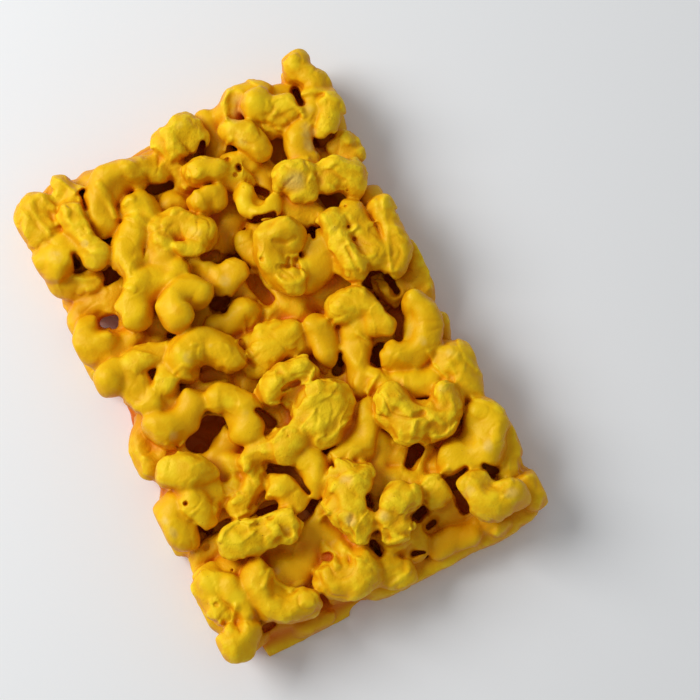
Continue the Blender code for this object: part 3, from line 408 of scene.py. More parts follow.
# Folds, rims and drips of the coat, as seen from the camera: half the width, the lift and
# the line. A negative lift is a groove.
FOLDS: tuple[tuple[float, float, tuple[Place, ...]], ...] = (
    (1.7, 1.1, ((-28.5, 75.5), (-27.5, 70), (-28, 63))),
    (1.5, 0.8, ((-42, 73.5), (-43, 68), (-41, 63))),
    (1.3, 0.7, ((-38.5, 72), (-37.5, 67), (-38, 62))),
    (1.6, 0.9, ((-44, 65), (-42, 61), (-38, 58), (-35.5, 57))),
    (1.3, 0.6, ((-51.5, 80), (-52, 74), (-50.5, 67))),
    (1.3, 0.6, ((-47.5, 81), (-46, 75), (-46.5, 69))),
    (1.1, 0.6, ((-28, 62), (-24.5, 60.5), (-20.5, 58), (-18.5, 53.5))),
    (1.3, 1.0, ((-24, 65.5), (-22, 67), (-20.5, 66))),
    (1.8, 1.5, ((-19, 49.3), (-16.5, 46.5), (-13.5, 43.5))),
    (2.0, -0.5, ((-15.5, 51), (-12, 48.5), (-12, 44.5))),
    (1.7, 1.0, ((-49, 49.5), (-46.5, 47.5), (-43, 46.3), (-42, 44.8))),
    (1.4, 0.7, ((-41, 84.5), (-38.5, 81), (-37, 76.5))),
    (1.5, 1.0, ((20, 77), (21.5, 82.5), (25, 86))),
    (1.3, 0.7, ((33, 86.5), (37, 80.5))),
    (3.2, -0.9, ((24, 77), (26, 81.5))),
    (1.4, 1.0, ((34.5, 73.5), (36, 76), (39, 76.7), (42, 75), (44, 71), (44, 66.5))),
    (2.6, -1.0, ((33, 69), (37, 67.5), (41.5, 68))),
    (1.4, 0.8, ((31, 71), (34, 70.5), (36.5, 72))),
    (1.3, 0.9, ((46.5, 73.5), (51, 73), (57, 69.5))),
    (1.1, 0.8, ((15, 67.3), (16.5, 69), (18.2, 69.8))),
    (1.4, 1.0, ((54.5, 69.5), (58.2, 65), (57.3, 60))),
    (1.4, 0.35, ((46, 64), (43.5, 60), (41.5, 55))),
    (1.4, 0.8, ((46, 47), (50, 44), (52.5, 41))),
    (1.3, 0.6, ((37.5, 44.5), (42, 46.5), (46, 46.5))),
    (1.3, 1.0, ((25.5, 52.3), (28, 53.6), (31, 54.5), (33, 53), (36, 52.8), (38.5, 52.3))),
    (1.3, 0.6, ((38.5, 52), (38.8, 48), (36, 45))),
    (2.0, 1.1, ((28.5, 42), (31.5, 41.5), (33.7, 39))),
    (1.0, -0.9, ((13.5, 22.5), (16, 21.5), (17.5, 23.8))),
    (1.2, 1.1, ((17.5, 24.2), (20.5, 23.2), (20.6, 19.5), (19.8, 16))),
    (1.1, 0.7, ((11, 19.5), (13, 16), (16.5, 14.4), (20, 15.3))),
    (2.8, -1.1, ((14.5, 19.5), (17, 18.5))),
    (1.0, -0.5, ((15.5, 31.3), (19, 28.8), (22.5, 29))),
    (1.6, 0.8, ((34, 32), (34, 27), (35, 23), (38.5, 22))),
    (0.8, -0.4, ((36.4, 18.5), (36.2, 9.5))),
    (1.3, 0.8, ((38.2, 20), (38.3, 14), (38, 9))),
    (1.1, 1.1, ((37.5, 24), (40.5, 22.7), (42.5, 23.3))),
    (1.3, 0.7, ((55.3, 28), (52, 21.5), (49, 12), (46, 4.5))),
    (1.5, 1.0, ((21.3, -3), (24.5, -3.6))),
    (1.2, 0.9, ((31, 5), (33.5, 4.6), (35, 3.2))),
    (1.2, 0.9, ((26.5, -10), (28.3, -13.5), (29.3, -15.3))),
    (1.3, 0.7, ((45, -26), (44, -30), (46, -36))),
    (1.3, 0.7, ((55.5, -26), (55, -33), (57, -40))),
    (1.3, 1.1, ((20.5, -28.8), (23, -27), (25.8, -25.3))),
    (1.0, 0.6, ((-24, 11.5), (-21.6, 10.3), (-23, 7.5), (-24.5, 3.5))),
    (1.0, 0.5, ((-33.5, 5.8), (-30, 6.7), (-28, 4.8))),
    (1.3, 0.9, ((-46, -16), (-43.5, -18.3), (-41, -17))),
    (1.4, 0.8, ((-9.5, 6), (-6, 7.6), (-2, 8.9))),
    (0.9, -0.7, ((-9.3, -4), (-10.6, 0.5), (-9.4, 5.5))),
    (1.3, 1.0, ((-9.5, -18), (-6.5, -19.5), (-5.8, -21))),
    (0.8, -1.6, ((-4, -15.4), (-1, -15.1), (1.5, -15.8))),
    (1.4, 0.9, ((1, -16.6), (4.5, -17), (9, -13.8))),
    (1.6, 0.6, ((-3.5, -24.5), (1, -22.3), (7, -23.3), (11, -26))),
    (1.6, 0.6, ((-4, -30), (2, -32.5), (8, -31), (12, -28))),
    (1.5, 0.7, ((-2, -36), (4, -37), (9, -34.5))),
    (1.3, 0.8, ((-14, -29), (-9, -27), (-6, -29))),
    (1.5, -1.0, ((-30.5, -46), (-26.5, -43.8), (-23, -41.5), (-22, -38.5))),
    (1.3, 0.8, ((-36, -46.6), (-33, -46.8), (-28, -46.2), (-24, -45.2))),
    (
        1.2,
        1.0,
        (
            (-44.7, -50.5), (-42, -48.7), (-36, -47.7), (-34, -48.6), (-31.5, -50.2),
            (-27, -50.5), (-22, -51), (-19.3, -52.5),
        ),
    ),
    (1.5, 1.3, ((-19.3, -52), (-23.5, -52.7), (-26, -54.5), (-26.7, -57.3), (-29.5, -57.6))),
    (1.8, -0.7, ((-23, -55), (-23.5, -58.5))),
    (1.3, 0.7, ((-56, -75), (-54, -77), (-52.5, -74))),
    (1.7, 1.0, ((-53.7, -77.7), (-51.5, -75), (-49, -72.5))),
    (1.3, 1.0, ((-37.5, -70.5), (-36, -69.3), (-33.7, -67), (-32.7, -71), (-30.5, -75))),
    (1.3, 0.8, ((-30.5, -75), (-25, -76), (-22.7, -77.7))),
    (1.6, 1.6, ((-14.9, -67.3), (-14.4, -70.5), (-14, -75))),
    (1.3, 0.8, ((-8.8, -71.5), (-8, -75), (-5, -77.5))),
    (1.6, 1.0, ((-1.5, -89), (3, -88), (6, -87.3))),
    (1.4, 0.9, ((19.8, -37.2), (22, -35), (25, -33.4))),
    (
        1.2,
        0.9,
        (
            (21.3, -47.5), (23.5, -50), (25.7, -50), (28, -52.2), (30, -53.2),
            (33.5, -52.3), (36, -53.2), (39, -53), (42, -51),
        ),
    ),
    (2.2, 1.1, ((26.8, -35.5), (29.5, -38.5), (31, -41.5))),
    (1.3, 1.0, ((27.5, -47.3), (31, -44), (33.5, -46.2), (36, -46.3), (37.6, -49))),
    (1.2, -0.9, ((31.2, -42.7), (33.5, -43.2))),
    (1.3, 0.8, ((50.5, -45.7), (55, -50), (57.7, -54))),
    (1.5, 1.0, ((44, -74), (48.6, -75.5), (45, -79))),
    (1.2, 1.0, ((-9.5, -55), (-9, -58.5), (-12, -59.3))),
    (1.3, 0.9, ((-6.3, -67.5), (-5, -72), (-2, -73))),
    (1.3, 0.7, ((2.5, -51), (8.5, -52.3), (7, -55))),
    (1.2, 0.9, ((20.4, -61.8), (20.9, -66), (19, -69.3))),
    (1.2, 0.6, ((9.5, -61.5), (14, -62.2), (17, -64.5))),
    (1.3, 0.9, ((1.5, -72.5), (3.2, -76), (6, -76.8), (9.3, -77))),
    (1.4, 1.1, ((21, -63.8), (25, -62.7), (29, -63.4), (32, -63))),
    (1.2, 0.8, ((-33.5, 37), (-36, 40), (-33, 42.5))),
)

# Small holes in the coat, as seen from the camera: place, reach and depth
PITS: tuple[tuple[Place, float, float], ...] = (
    ((14.2, 63.8), 0.9, 0.9), ((14, 57.8), 0.9, 0.8), ((15, 52.8), 0.8, 0.9),
    ((16.3, 60), 0.9, 2.0), ((16.2, 59), 0.8, 1.8), ((9, 27.5), 0.7, 0.5),
    ((40, 19.7), 0.7, 1.0), ((40, 24.4), 0.5, 0.7), ((42.5, 31.3), 0.6, 0.7),
    ((-48.9, -35.2), 0.9, 2.0), ((-15.3, -71.5), 1.3, 3.0), ((-44.8, -61.3), 0.9, 1.0),
    ((57.3, 22), 0.8, 1.0), ((-17.8, 9.3), 0.5, 0.6), ((45.5, 36), 0.7, 0.7),
    ((-49, -51), 1.2, 1.0), ((-9.2, -30.2), 0.5, 0.5), ((-54, -69), 0.8, 0.5),
)

# Where the coat is thin and paler, with painted highlight of the window's soft reflection, as seen
# from the camera: place and reach
PALE_HIGHLIGHTS: tuple[tuple[Place, float], ...] = (
    ((31, 47), 5.5), ((41, 56), 3.2), ((43.5, 61), 3.5), ((47, 66.5), 3.2), ((-57, -42), 2.6),
    ((-57.3, -37), 2.0), ((-20, -17), 2.6), ((1.5, -53), 3.0), ((-2, -58), 2.6),
    ((-3.6, -63), 2.8),
    ((35.3, -73), 2.6), ((47.3, -79), 2.6), ((47.3, -62), 2.4), ((43, -39), 2.4), ((-7, 46), 2.6),
    ((24, 77), 3.0), ((26.5, 82), 3.0), ((-23, -57.5), 2.4), ((-19, 8.5), 1.3), ((52, -29), 3.0),
    ((-27, 8.5), 2.4), ((-43, -13), 2.4), ((-5, 26.5), 2.4), ((36.5, 31.5), 1.6), ((21, 67), 2.4),
    ((7, -68), 2.4), ((-52, 59.5), 2.8), ((44.5, -21), 2.0), ((41, -60), 3.0), ((-55, -72), 1.8),
    ((-32.5, -68), 1.6), ((36, 26.5), 1.6), ((-41.5, 58.5), 1.4), ((4.5, 83), 2.6),
    ((-2.5, 13.5), 1.4),
)

# Where the coat is thick, crumbly and lemon yellow, as seen from the camera: place and reach
LEMON: tuple[tuple[Place, float], ...] = (
    ((-48.5, -22.5), 4.8), ((-37.2, 3), 3.4), ((-12, 41), 3.2), ((-52, -61.5), 4.8),
    ((-22.5, -11.5), 2.4),
    ((-40, 52.5), 5.0), ((22.3, 19), 2.8), ((32, 78), 4.5), ((11.5, 47), 3.6), ((25.5, -64), 3.8),
    ((-47, -42.5), 3.0), ((3, -88), 3.2), ((31, 41), 3.2), ((48.5, 58.8), 2.6), ((28, -3), 4.0),
    ((-47, -70), 3.6), ((5, -28), 8.0), ((-16.5, 46.5), 2.4), ((-48, 48), 2.6), ((35, 25), 3.2),
    ((-58, -78), 3.0), ((29.5, -38.5), 3.0), ((39.5, 74), 3.4), ((18.5, 75.5), 2.6),
    ((-40, -53), 4.0),
    ((14, -65), 4.0), ((49.5, 85), 3.4), ((-43, 78), 3.0), ((-6, 9), 3.0), ((4, -11), 3.5),
    ((-22, 61), 3.0), ((55, 26), 2.6), ((41, 22.5), 2.4), ((-29, 9.5), 3.0), ((-46, 16.5), 3.4),
    ((57.5, -53), 2.2), ((-8, -34), 3.5), ((-20, -44.5), 2.4), ((41, -78), 3.0), ((54, 62), 3.0),
)


def seen_at(x: float, y: float, z: float) -> Place:
    """Find where something that the camera shows at a place lies at its own height.

    Args:
        x: Place across the slab, read on the reading level, in millimetres.
        y: Place along the slab, read on the reading level, in millimetres.
        z: The height that it really has, in millimetres.

    Returns:
        Its true place, from the middle of the mould.
    """
    share = (CAMERA_HEIGHT - z) / (CAMERA_HEIGHT - READ_LEVEL)
    foot_x, foot_y = CAMERA_FOOT
    return (
        foot_x + (x - foot_x) * share + LAYOUT_SHIFT,
        foot_y + (y - foot_y) * share + LAYOUT_SHIFT,
    )


def read_place(x: np.ndarray, y: np.ndarray, z: np.ndarray) -> tuple[np.ndarray, np.ndarray]:
    """Find where on the reading level the camera shows points.

    Args:
        x: Their true places across the slab.
        y: Their true places along the slab.
        z: Their heights.

    Returns:
        Their places as read, across and along.
    """
    share = (CAMERA_HEIGHT - READ_LEVEL) / (CAMERA_HEIGHT - z)
    foot_x, foot_y = CAMERA_FOOT
    return (
        foot_x + (x - LAYOUT_SHIFT - foot_x) * share,
        foot_y + (y - LAYOUT_SHIFT - foot_y) * share,
    )


def blend_low(one: np.ndarray, other: np.ndarray, reach: float) -> np.ndarray:
    """Take the lower of two distances, with a fillet where they are alike.

    Args:
        one: The first distances.
        other: The other distances.
        reach: The size of the fillet.

    Returns:
        The joined distances.
    """
    near = np.maximum(reach - np.abs(one - other), 0) / reach
    return np.minimum(one, other) - near**2 * reach / 4


def blend_high(one: np.ndarray, other: np.ndarray, reach: float) -> np.ndarray:
    """Take the higher of two distances, with a rounding where they are alike.

    Args:
        one: The first distances.
        other: The other distances.
        reach: The size of the rounding.

    Returns:
        The distances of what both hold.
    """
    return -blend_low(-one, -other, reach)


def ease(share: np.ndarray) -> np.ndarray:
    """Turn an even rise from 0 to 1 into a soft one."""
    held = np.clip(share, 0, 1)
    return held * held * (3 - 2 * held)


def between(low: float, share: np.ndarray) -> np.ndarray:
    """Turn shares from 0 to 1 into shares from a lower bound to 1."""
    return low + (1 - low) * share


def fold(noise: np.ndarray, width: float) -> np.ndarray:
    """Turn noise into thin lines of 1 where it crosses its middle."""
    return np.maximum(0, 1 - np.abs(noise) / width)


def line_distance(x: np.ndarray, y: np.ndarray, line: Iterable[Place]) -> np.ndarray:
    """Measure how far points are from a line of straight runs, in plan.

    Args:
        x: Places across the slab.
        y: Places along the slab.
        line: The points of the line.

    Returns:
        The distances.
    """
    points = list(line)
    nearest = None
    for (x0, y0), (x1, y1) in zip(points, points[1:] or points):
        run = (x1 - x0) ** 2 + (y1 - y0) ** 2
        share = ((x - x0) * (x1 - x0) + (y - y0) * (y1 - y0)) / max(run, TINY)
        share = np.clip(share, 0, 1)
        away = np.hypot(x - x0 - (x1 - x0) * share, y - y0 - (y1 - y0) * share)
        nearest = away if nearest is None else np.minimum(nearest, away)
    return nearest


@dataclass(frozen=True)
class Mould:
    """The mould that the slab was set in, in millimetres."""

    width: float = 118.0
    length: float = 180.5
    rounding: float = 0.8
    floor_rounding: float = 0.3


@dataclass(frozen=True)
class Sheet:
    """The poured sheet under the nuts, in millimetres."""

    inset: float = 3.0
    rim: float = 1.2
    height: float = 4.5
    slope: float = 5.0
    corner: float = 11.0
    south_inset: float = 0.7
    west_end: float = -45.7
    step: float = -81.0
    notch: tuple[Place, float] = ((-10.0, -93.6), 7.4)
    top_waves: Waves = ((0.9, 6.0, 41), (0.35, 3.0, 42))
    side_waves: Waves = ((0.9, 5.0, 43),)
    side_foot: float = 1.0
    side_fade: float = 2.0
    rounding: float = 1.5


@dataclass(frozen=True)
class Filling:
    """The rule for the lower nuts inside the ring, in millimetres."""

    seed: int = 5
    rows: tuple[int, int] = (-5, 6)
    columns: tuple[int, int] = (-3, 4)
    inset: float = 14.0
    spacing: Place = (13.5, 14.0)
    offset: float = 4.0
    stray: float = 3.0
    bend: float = 0.3
    thick: Place = (11.5, 13.0)
    chord: Place = (9.0, 14.0)
    lift: Place = (8.4, 10.8)


@dataclass(frozen=True)
class Wrinkles:
    """How the coat wrinkles, in millimetres.

    Waves are rows of a strength, the size of one wave and a seed.
    """

    near: float = 2.2
    fade: float = 1.4
    lumps: Waves = ((0.42, 4.2, 51), (0.2, 2.3, 52))
    smooth_lumps: float = 0.5
    rough_lumps: float = 0.4
    flakes: Waves = ((1.0, 4.6, 58), (0.7, 2.8, 59))
    flake_edge: float = 4.0
    flake_height: float = 0.3
    mounds: Waves = ((0.55, 3.4, 56), (0.32, 1.9, 57))
    mound_least: float = 0.35
    crumbs: tuple[float, int] = (1.5, 53)
    crumb_level: float = 0.2
    crumb_height: float = 0.45
    valleys: tuple[float, int] = (3.6, 54)
    valley_width: float = 0.3
    valley_depth: float = 0.5
    valley_least: float = 0.25
    patches: tuple[float, int] = (6.0, 55)
    patch_level: float = 0.5
    patch_contrast: float = 1.1
    ridges: tuple[float, int] = (4.4, 60)
    ridge_width: float = 0.2
    ridge_height: float = 0.4
    ridge_patches: tuple[float, int] = (5.0, 61)
    ridge_level: float = 0.4
    ridge_contrast: float = 1.2
    fold_width: float = 1.3
    fold_height: float = 0.85
    pit_reach: float = 1.1
    pit_depth: float = 1.3

    def share(self, values: np.ndarray) -> np.ndarray:
        """Weigh cells by how near the surface they lie, 1 in the coat and 0 far outside it."""
        return ease((self.near - values) / self.fade)


WRINKLES = Wrinkles()


@dataclass(frozen=True)
class Gapping:
    """How the gaps are cut before and after the upper nuts are laid, in millimetres."""

    floor_rise: float = 1.2
    first_wider: float = 0.2
    first_rounding: float = 1.5
    wide: float = 1.8
    narrower: float = 0.6
    wide_share: float = 0.55
    least: float = 0.5
    last_rounding: float = 1.3

    def last_reach(self, reach: float) -> float:
        """Give half the width of a gap's second cut."""
        narrow = reach - self.narrower if reach < self.wide else self.wide_share * reach
        return max(self.least, narrow)


@dataclass(frozen=True)
class Hole:
    """The gap that goes through to the table and a low way out from it, in millimetres."""

    line: tuple[Place, ...] = ((-46.6, 31.2), (-43.7, 30.5), (-44.3, 29.3))
    reach: float = 2.1
    rounding: float = 2.0
    way_start: float = -45.0
    way_end: float = -44.0
    way_middle: float = 32.0
    way_turn: float = 0.5
    way_level: float = -0.5
    way_reach: float = 4.2
    way_widening: float = 0.38
    way_narrowing: float = 1.2
    way_warp: float = 0.3
    way_rounding: float = 1.5


@dataclass(frozen=True)
class MarkRule:
    """Where the marks that the coat's colour follows begin and end, in millimetres."""

    # Crests turn lemon, partly as painted highlight, and creases take painted shade, by these
    bulge_reach: float = 1.7
    crest_full: float = 0.45
    crease_full: float = 0.55
    # Painted shade in hollows, near the floor and on the lower nuts, away from the walls, begins
    # and ends at these
    sunk_reach: float = 5.0
    sunk_level: float = -0.35
    sunk_fade: float = 1.5
    floor_top: float = 11.0
    floor_fade: float = 8.0
    low_top: float = 19.0
    low_fade: float = 7.0
    # Painted light and shade: surfaces that face up get the lighter colour, those that face aside
    # the darker, between these facings
    top_light_start: float = 0.1
    top_light_fade: float = 0.85
    wall_inset: float = 1.5
    wall_fade: float = 5.0
    upper_start: float = 12.0
    upper_fade: float = 4.0
    spot_edge: float = 1.3
    spot_ragged: float = 0.9
    spot_waves: tuple[float, int] = (2.4, 71)

    def upper(self, height: np.ndarray) -> np.ndarray:
        """Weigh heights, 0 below the upper nuts and 1 on them."""
        return ease((height - self.upper_start) / self.upper_fade)


@dataclass(frozen=True)
class Nut:
    """A bent nut: an arc with round ends, in millimetres from the middle of the mould."""

    start: Place
    bend: Place
    end: Place
    height: float
    thick: float
    rise: float = 0.0
    skin: Skin = SMOOTH
    taper: float = 0.1
    flat: float = 0.94
    straight: float = 0.02
    web_bend: float = 0.22
    web_chord: float = 7.0
    web_shift: float = 0.3
    web_drop: float = 1.6
    web_thick: float = 0.72

    @property
    def chord(self) -> float:
        """How far apart its ends are."""
        return math.hypot(self.end[0] - self.start[0], self.end[1] - self.start[1])

    @property
    def sag(self) -> float:
        """How far its bend lies from the straight line between its ends.

        Returns:
            The distance, negative to the right of the way from its thick end to its thin end.
        """
        (x0, y0), (x1, y1), (x2, y2) = self.start, self.bend, self.end
        side_x, side_y = -(y2 - y0) / self.chord, (x2 - x0) / self.chord
        return (x1 - (x0 + x2) / 2) * side_x + (y1 - (y0 + y2) / 2) * side_y

    def with_web(self) -> list[Nut]:
        """Add the coat that fills the inside of a strong bend, as a lower and thinner nut.

        Returns:
            The nut, and its web where it is bent enough for one.
        """
        if abs(self.sag) <= self.web_bend * self.chord or self.chord <= self.web_chord:
            return [self]
        middle = tuple((a + b) / 2 for a, b in zip(self.start, self.end))
        shift = [(b - a) * self.web_shift for a, b in zip(middle, self.bend)]
        ends = [(x + shift[0], y + shift[1]) for x, y in (self.start, middle, self.end)]
        height, thick = self.height - self.web_drop, self.thick * self.web_thick
        return [self, Nut(*ends, height, thick, self.rise, self.skin)]

    def window(self, margin: float) -> tuple[tuple[float, ...], tuple[float, ...]]:
        """Give the corners of a box that holds the nut and a margin round it.

        Args:
            margin: The room kept round the nut.

        Returns:
            The lowest and the highest corner.
        """
        reach = self.thick / 2 + margin
        across = [place[0] for place in (self.start, self.bend, self.end)]
        along = [place[1] for place in (self.start, self.bend, self.end)]
        sway = abs(self.rise) / 2
        low = (min(across) - reach, min(along) - reach, self.height - sway - reach)
        high = (max(across) + reach, max(along) + reach, self.height + sway + reach)
        return low, high

    def distance(self, x: np.ndarray, y: np.ndarray, z: np.ndarray) -> np.ndarray:
        """Measure how far points are outside the nut.

        Args:
            x: Places across the slab.
            y: Places along the slab.
            z: Heights.

        Returns:
            The distances, negative inside the nut.
        """
        (x0, y0), (x2, y2) = self.start, self.end
        chord, sag = self.chord, self.sag
        side_x, side_y = -(y2 - y0) / chord, (x2 - x0) / chord
        if abs(sag) < self.straight * chord:
            share = ((x - x0) * (x2 - x0) + (y - y0) * (y2 - y0)) / chord**2
            share = np.clip(share, 0, 1)
            near_x = x0 + (x2 - x0) * share
            near_y = y0 + (y2 - y0) * share
        else:
            radius = (chord**2 / 4 + sag**2) / (2 * sag)
            centre_x = (x0 + x2) / 2 + side_x * (sag - radius)
            centre_y = (y0 + y2) / 2 + side_y * (sag - radius)
            sweep = -4 * math.atan2(sag, chord / 2)
            middle = math.atan2(side_y * sag, side_x * sag)
            turn = np.arctan2(y - centre_y, x - centre_x) - middle
            turn = (turn + math.pi) % (2 * math.pi) - math.pi
            share = np.clip(turn / sweep + 0.5, 0, 1)
            angle = middle + sweep * (share - 0.5)
            near_x = centre_x + abs(radius) * np.cos(angle)
            near_y = centre_y + abs(radius) * np.sin(angle)
        near_z = self.height + self.rise * (share - 0.5)
        radius_here = self.thick / 2 * (1 - self.taper * share)
        off_z = (z - near_z) / self.flat
        return np.sqrt((x - near_x) ** 2 + (y - near_y) ** 2 + off_z**2) - radius_here


@dataclass(frozen=True)
class Lump:
    """A round lump of coat, in millimetres from the middle of the mould."""

    place: Place
    height: float
    radius: float
    flat: float
    skin: Skin

    def window(self, margin: float) -> tuple[tuple[float, ...], tuple[float, ...]]:
        """Give the corners of a box that holds the lump and a margin round it.

        Args:
            margin: The room kept round the lump.

        Returns:
            The lowest and the highest corner.
        """
        middle = (*self.place, self.height)
        reach = self.radius + margin
        return tuple(at - reach for at in middle), tuple(at + reach for at in middle)

    def distance(self, x: np.ndarray, y: np.ndarray, z: np.ndarray) -> np.ndarray:
        """Measure how far points are outside the lump.

        Args:
            x: Places across the slab.
            y: Places along the slab.
            z: Heights.

        Returns:
            The distances, negative inside the lump.
        """
        off_z = (z - self.height) / self.flat
        away = np.sqrt((x - self.place[0]) ** 2 + (y - self.place[1]) ** 2 + off_z**2)
        return away - self.radius


@dataclass(frozen=True)
class Edging:
    """How gaps and folds are drawn into the block, in millimetres."""

    gap_room: float = 3.0
    gap_warp: float = 0.3
    gap_ragged: float = 0.35
    floor_uneven: float = 1.5
    floor_rounding: float = 1.5
    fold_room: float = 1.0
    fold_start: float = 12.0
    fold_fade: float = 3.0
    fold_ragged: float = 0.45
    fold_uneven: float = 0.3
    groove_steep: float = 1.7


@dataclass
class Field:
    """A block of space in cells, with the distance to the slab's surface in each.

    The seeds of the warp's waves are counted on from each of its own seeds.
    """

    low: tuple[float, float, float] = (-62.0, -93.0, -2.0)
    high: tuple[float, float, float] = (62.0, 93.0, 32.0)
    cell: float = 0.6
    edging: Edging = Edging()
    warp_seeds: tuple[int, ...] = (21, 22, 23)
    warp_waves: Waves = ((1.0, 10.0, 0), (0.85, 4.8, 10))
    ragged_waves: Waves = ((1.0, 3.0, 31), (0.6, 1.7, 32))
    warp_room: float = 2.5
    skin_fade: float = 1.4
    knot_spread: float = 1.6
    slope_step: float = 0.6
    values: np.ndarray = field(init=False)
    skin: np.ndarray = field(init=False)
    tint: np.ndarray = field(init=False)
    warp: tuple[np.ndarray, ...] = field(init=False)
    ragged: np.ndarray = field(init=False)

    def __post_init__(self) -> None:
        """Fill the block with far-off distances, and draw the warp of its space."""
        self.values = np.full(self.shape, FAR_OFF, np.float32)
        self.skin = np.full(self.shape, SMOOTH.value, np.float32)
        self.tint = np.full(self.shape, 0.5, np.float32)
        self.warp = tuple(
            sum(strength * self.noise(size, seed + on) for strength, size, on in self.warp_waves)
            for seed in self.warp_seeds
        )
        self.ragged = self.waves(self.ragged_waves)

    @property
    def shape(self) -> tuple[int, int, int]:
        """How many cells the block has each way."""
        return tuple(int(round((b - a) / self.cell)) + 1 for a, b in zip(self.low, self.high))

    def noise(self, size: float, seed: int) -> np.ndarray:
        """Draw smooth seeded noise over the whole block.

        Args:
            size: The size of one lump, in millimetres.
            seed: The seed of the draw.

        Returns:
            One value a cell, mostly between -1 and 1.
        """
        weights = []
        for count in self.shape:
            place = np.arange(count) * self.cell / size + 1.5
            base = np.floor(place).astype(int)
            part = place - base
            spread = np.zeros((count, base.max() + 3), np.float32)
            rows = np.arange(count)
            spread[rows, base - 1] = (1 - part) ** 3 / 6
            spread[rows, base] = (3 * part**3 - 6 * part**2 + 4) / 6
            spread[rows, base + 1] = (-3 * part**3 + 3 * part**2 + 3 * part + 1) / 6
            spread[rows, base + 2] = part**3 / 6
            weights.append(spread)
        shape = [spread.shape[1] for spread in weights]
        knots = np.random.default_rng(seed).normal(0, self.knot_spread, shape)
        drawn = np.tensordot(weights[0], knots.astype(np.float32), (1, 0))
        drawn = np.tensordot(drawn, weights[1], (1, 1)).transpose(0, 2, 1)
        return np.tensordot(drawn, weights[2], (2, 1))

    def waves(self, rows: Waves) -> np.ndarray:
        """Add up noises over the whole block.

        Args:
            rows: The strength, the size and the seed of each.

        Returns:
            One value a cell.
        """
        return sum(strength * self.noise(size, seed) for strength, size, seed in rows)

    def axes(self) -> Blocks:
        """Give the places of the cells along each side of the block, ready to broadcast.

        Returns:
            The places across, along and up.
        """
        x, y, z = (
            (low + self.cell * np.arange(count)).astype(np.float32)
            for low, count in zip(self.low, self.shape)
        )
        return x[:, None, None], y[None, :, None], z[None, None, :]

    def cells_in(self, low: tuple[float, ...], high: tuple[float, ...]) -> Cells:
        """Find the cells inside a box.

        Args:
            low: The box's lowest corner.
            high: The box's highest corner.

        Returns:
            The slices of the block that cover the box.
        """
        cells = []
        for start, end, origin, count in zip(low, high, self.low, self.shape):
            first = min(count, max(0, int((start - origin) / self.cell)))
            last = min(count, int((end - origin) / self.cell) + 2)
            cells.append(slice(first, max(first, last)))
        return tuple(cells)

    def places(self, cells: Cells) -> Blocks:
        """Give the places of some of the cells, ready to broadcast."""
        x, y, z = self.axes()
        return x[cells[0]], y[:, cells[1]], z[:, :, cells[2]]

    def near_line(self, line: Iterable[Place], margin: float, low: float, high: float) -> Cells:
        """Find the cells that the camera sees near a line.

        Args:
            line: The points of the line, as read.
            margin: How far from the line the cells may be.
            low: The least height.
            high: The greatest height.

        Returns:
            The slices of the block.
        """
        ends = [seen_at(x, y, z) for x, y in line for z in (low, high)]
        across, along = zip(*ends)
        return self.cells_in(
            (min(across) - margin, min(along) - margin, low),
            (max(across) + margin, max(along) + margin, high),
        )

    def join(self, form: Nut | Lump, fillet: float, tint: float) -> None:
        """Join a nut or a lump to what is there.

        Args:
            form: The nut or the lump.
            fillet: How far the coat runs together between it and its neighbours.
            tint: Its own shade, from 0 to 1.
        """
        cells = self.cells_in(*form.window(fillet + self.warp_room))
        warped = [place + shift[cells] for place, shift in zip(self.places(cells), self.warp)]
        away = form.distance(*warped)
        held = self.values[cells]
        share = np.clip(0.5 + (held - away) / self.skin_fade, 0, 1)
        self.skin[cells] += share * (form.skin.value - self.skin[cells])
        self.tint[cells] += share * (tint - self.tint[cells])
        self.values[cells] = blend_low(held, away, fillet)

    def carve(self, line: tuple[Place, ...], reach: float, floor: float, rounding: float) -> None:
        """Open a gap towards the camera.

        Args:
            line: The middle of the gap, as read.
            reach: Half its width.
            floor: The height of its floor.
            rounding: How far its upper edge is rounded.
        """
        rule = self.edging
        cells = self.near_line(line, reach + rule.gap_room, floor - rule.gap_room, self.high[2])
        x, y, z = self.places(cells)
        read_x, read_y = read_place(x, y, z)
        away = line_distance(read_x, read_y, line) - reach
        away = away + rule.gap_warp * self.warp[0][cells] + rule.gap_ragged * self.ragged[cells]
        uneven = np.abs(self.warp[1][cells]) if floor > 0 else 0 * away
        gap = blend_high(away, floor + rule.floor_uneven * uneven - z, rule.floor_rounding)
        self.values[cells] = blend_high(self.values[cells], -gap, rounding)

    def lift(self, line: tuple[Place, ...], width: float, height: float) -> None:
        """Raise or sink the surface along a line that the camera sees.

        Args:
            line: The line, as read.
            width: Half the width of the fold.
            height: How far its middle rises, or sinks where negative.
        """
        rule = self.edging
        cells = self.near_line(line, width + rule.fold_room, rule.fold_start, self.high[2])
        x, y, z = self.places(cells)
        read_x, read_y = read_place(x, y, z)
        ragged = self.ragged[cells]
        away = line_distance(read_x, read_y, line) + rule.fold_ragged * ragged
        upper = ease((z - rule.fold_start) / rule.fold_fade)
        steep = 1.0 if height > 0 else rule.groove_steep
        share = ease(steep * (1 - away / width))
        share = share * WRINKLES.share(self.values[cells])
        self.values[cells] -= height * (1 + rule.fold_uneven * ragged) * share * upper

    def sampled(self, block: np.ndarray, points: np.ndarray) -> np.ndarray:
        """Read values between the cells of a block.

        Args:
            block: The values, one a cell.
            points: Where to read them, in millimetres.

        Returns:
            One value a point.
        """
        at = (points - np.array(self.low)) / self.cell
        at = np.clip(at, 0, np.array(block.shape) - PAST_LAST)
        base = at.astype(np.int32)
        part = (at - base).astype(np.float32)
        read = np.zeros(len(points), np.float32)
        for corner in np.ndindex(2, 2, 2):
            weight = np.prod(np.where(corner, part, 1 - part), axis=1)
            i, j, k = (base + corner).T
            read += weight * block[i, j, k]
        return read

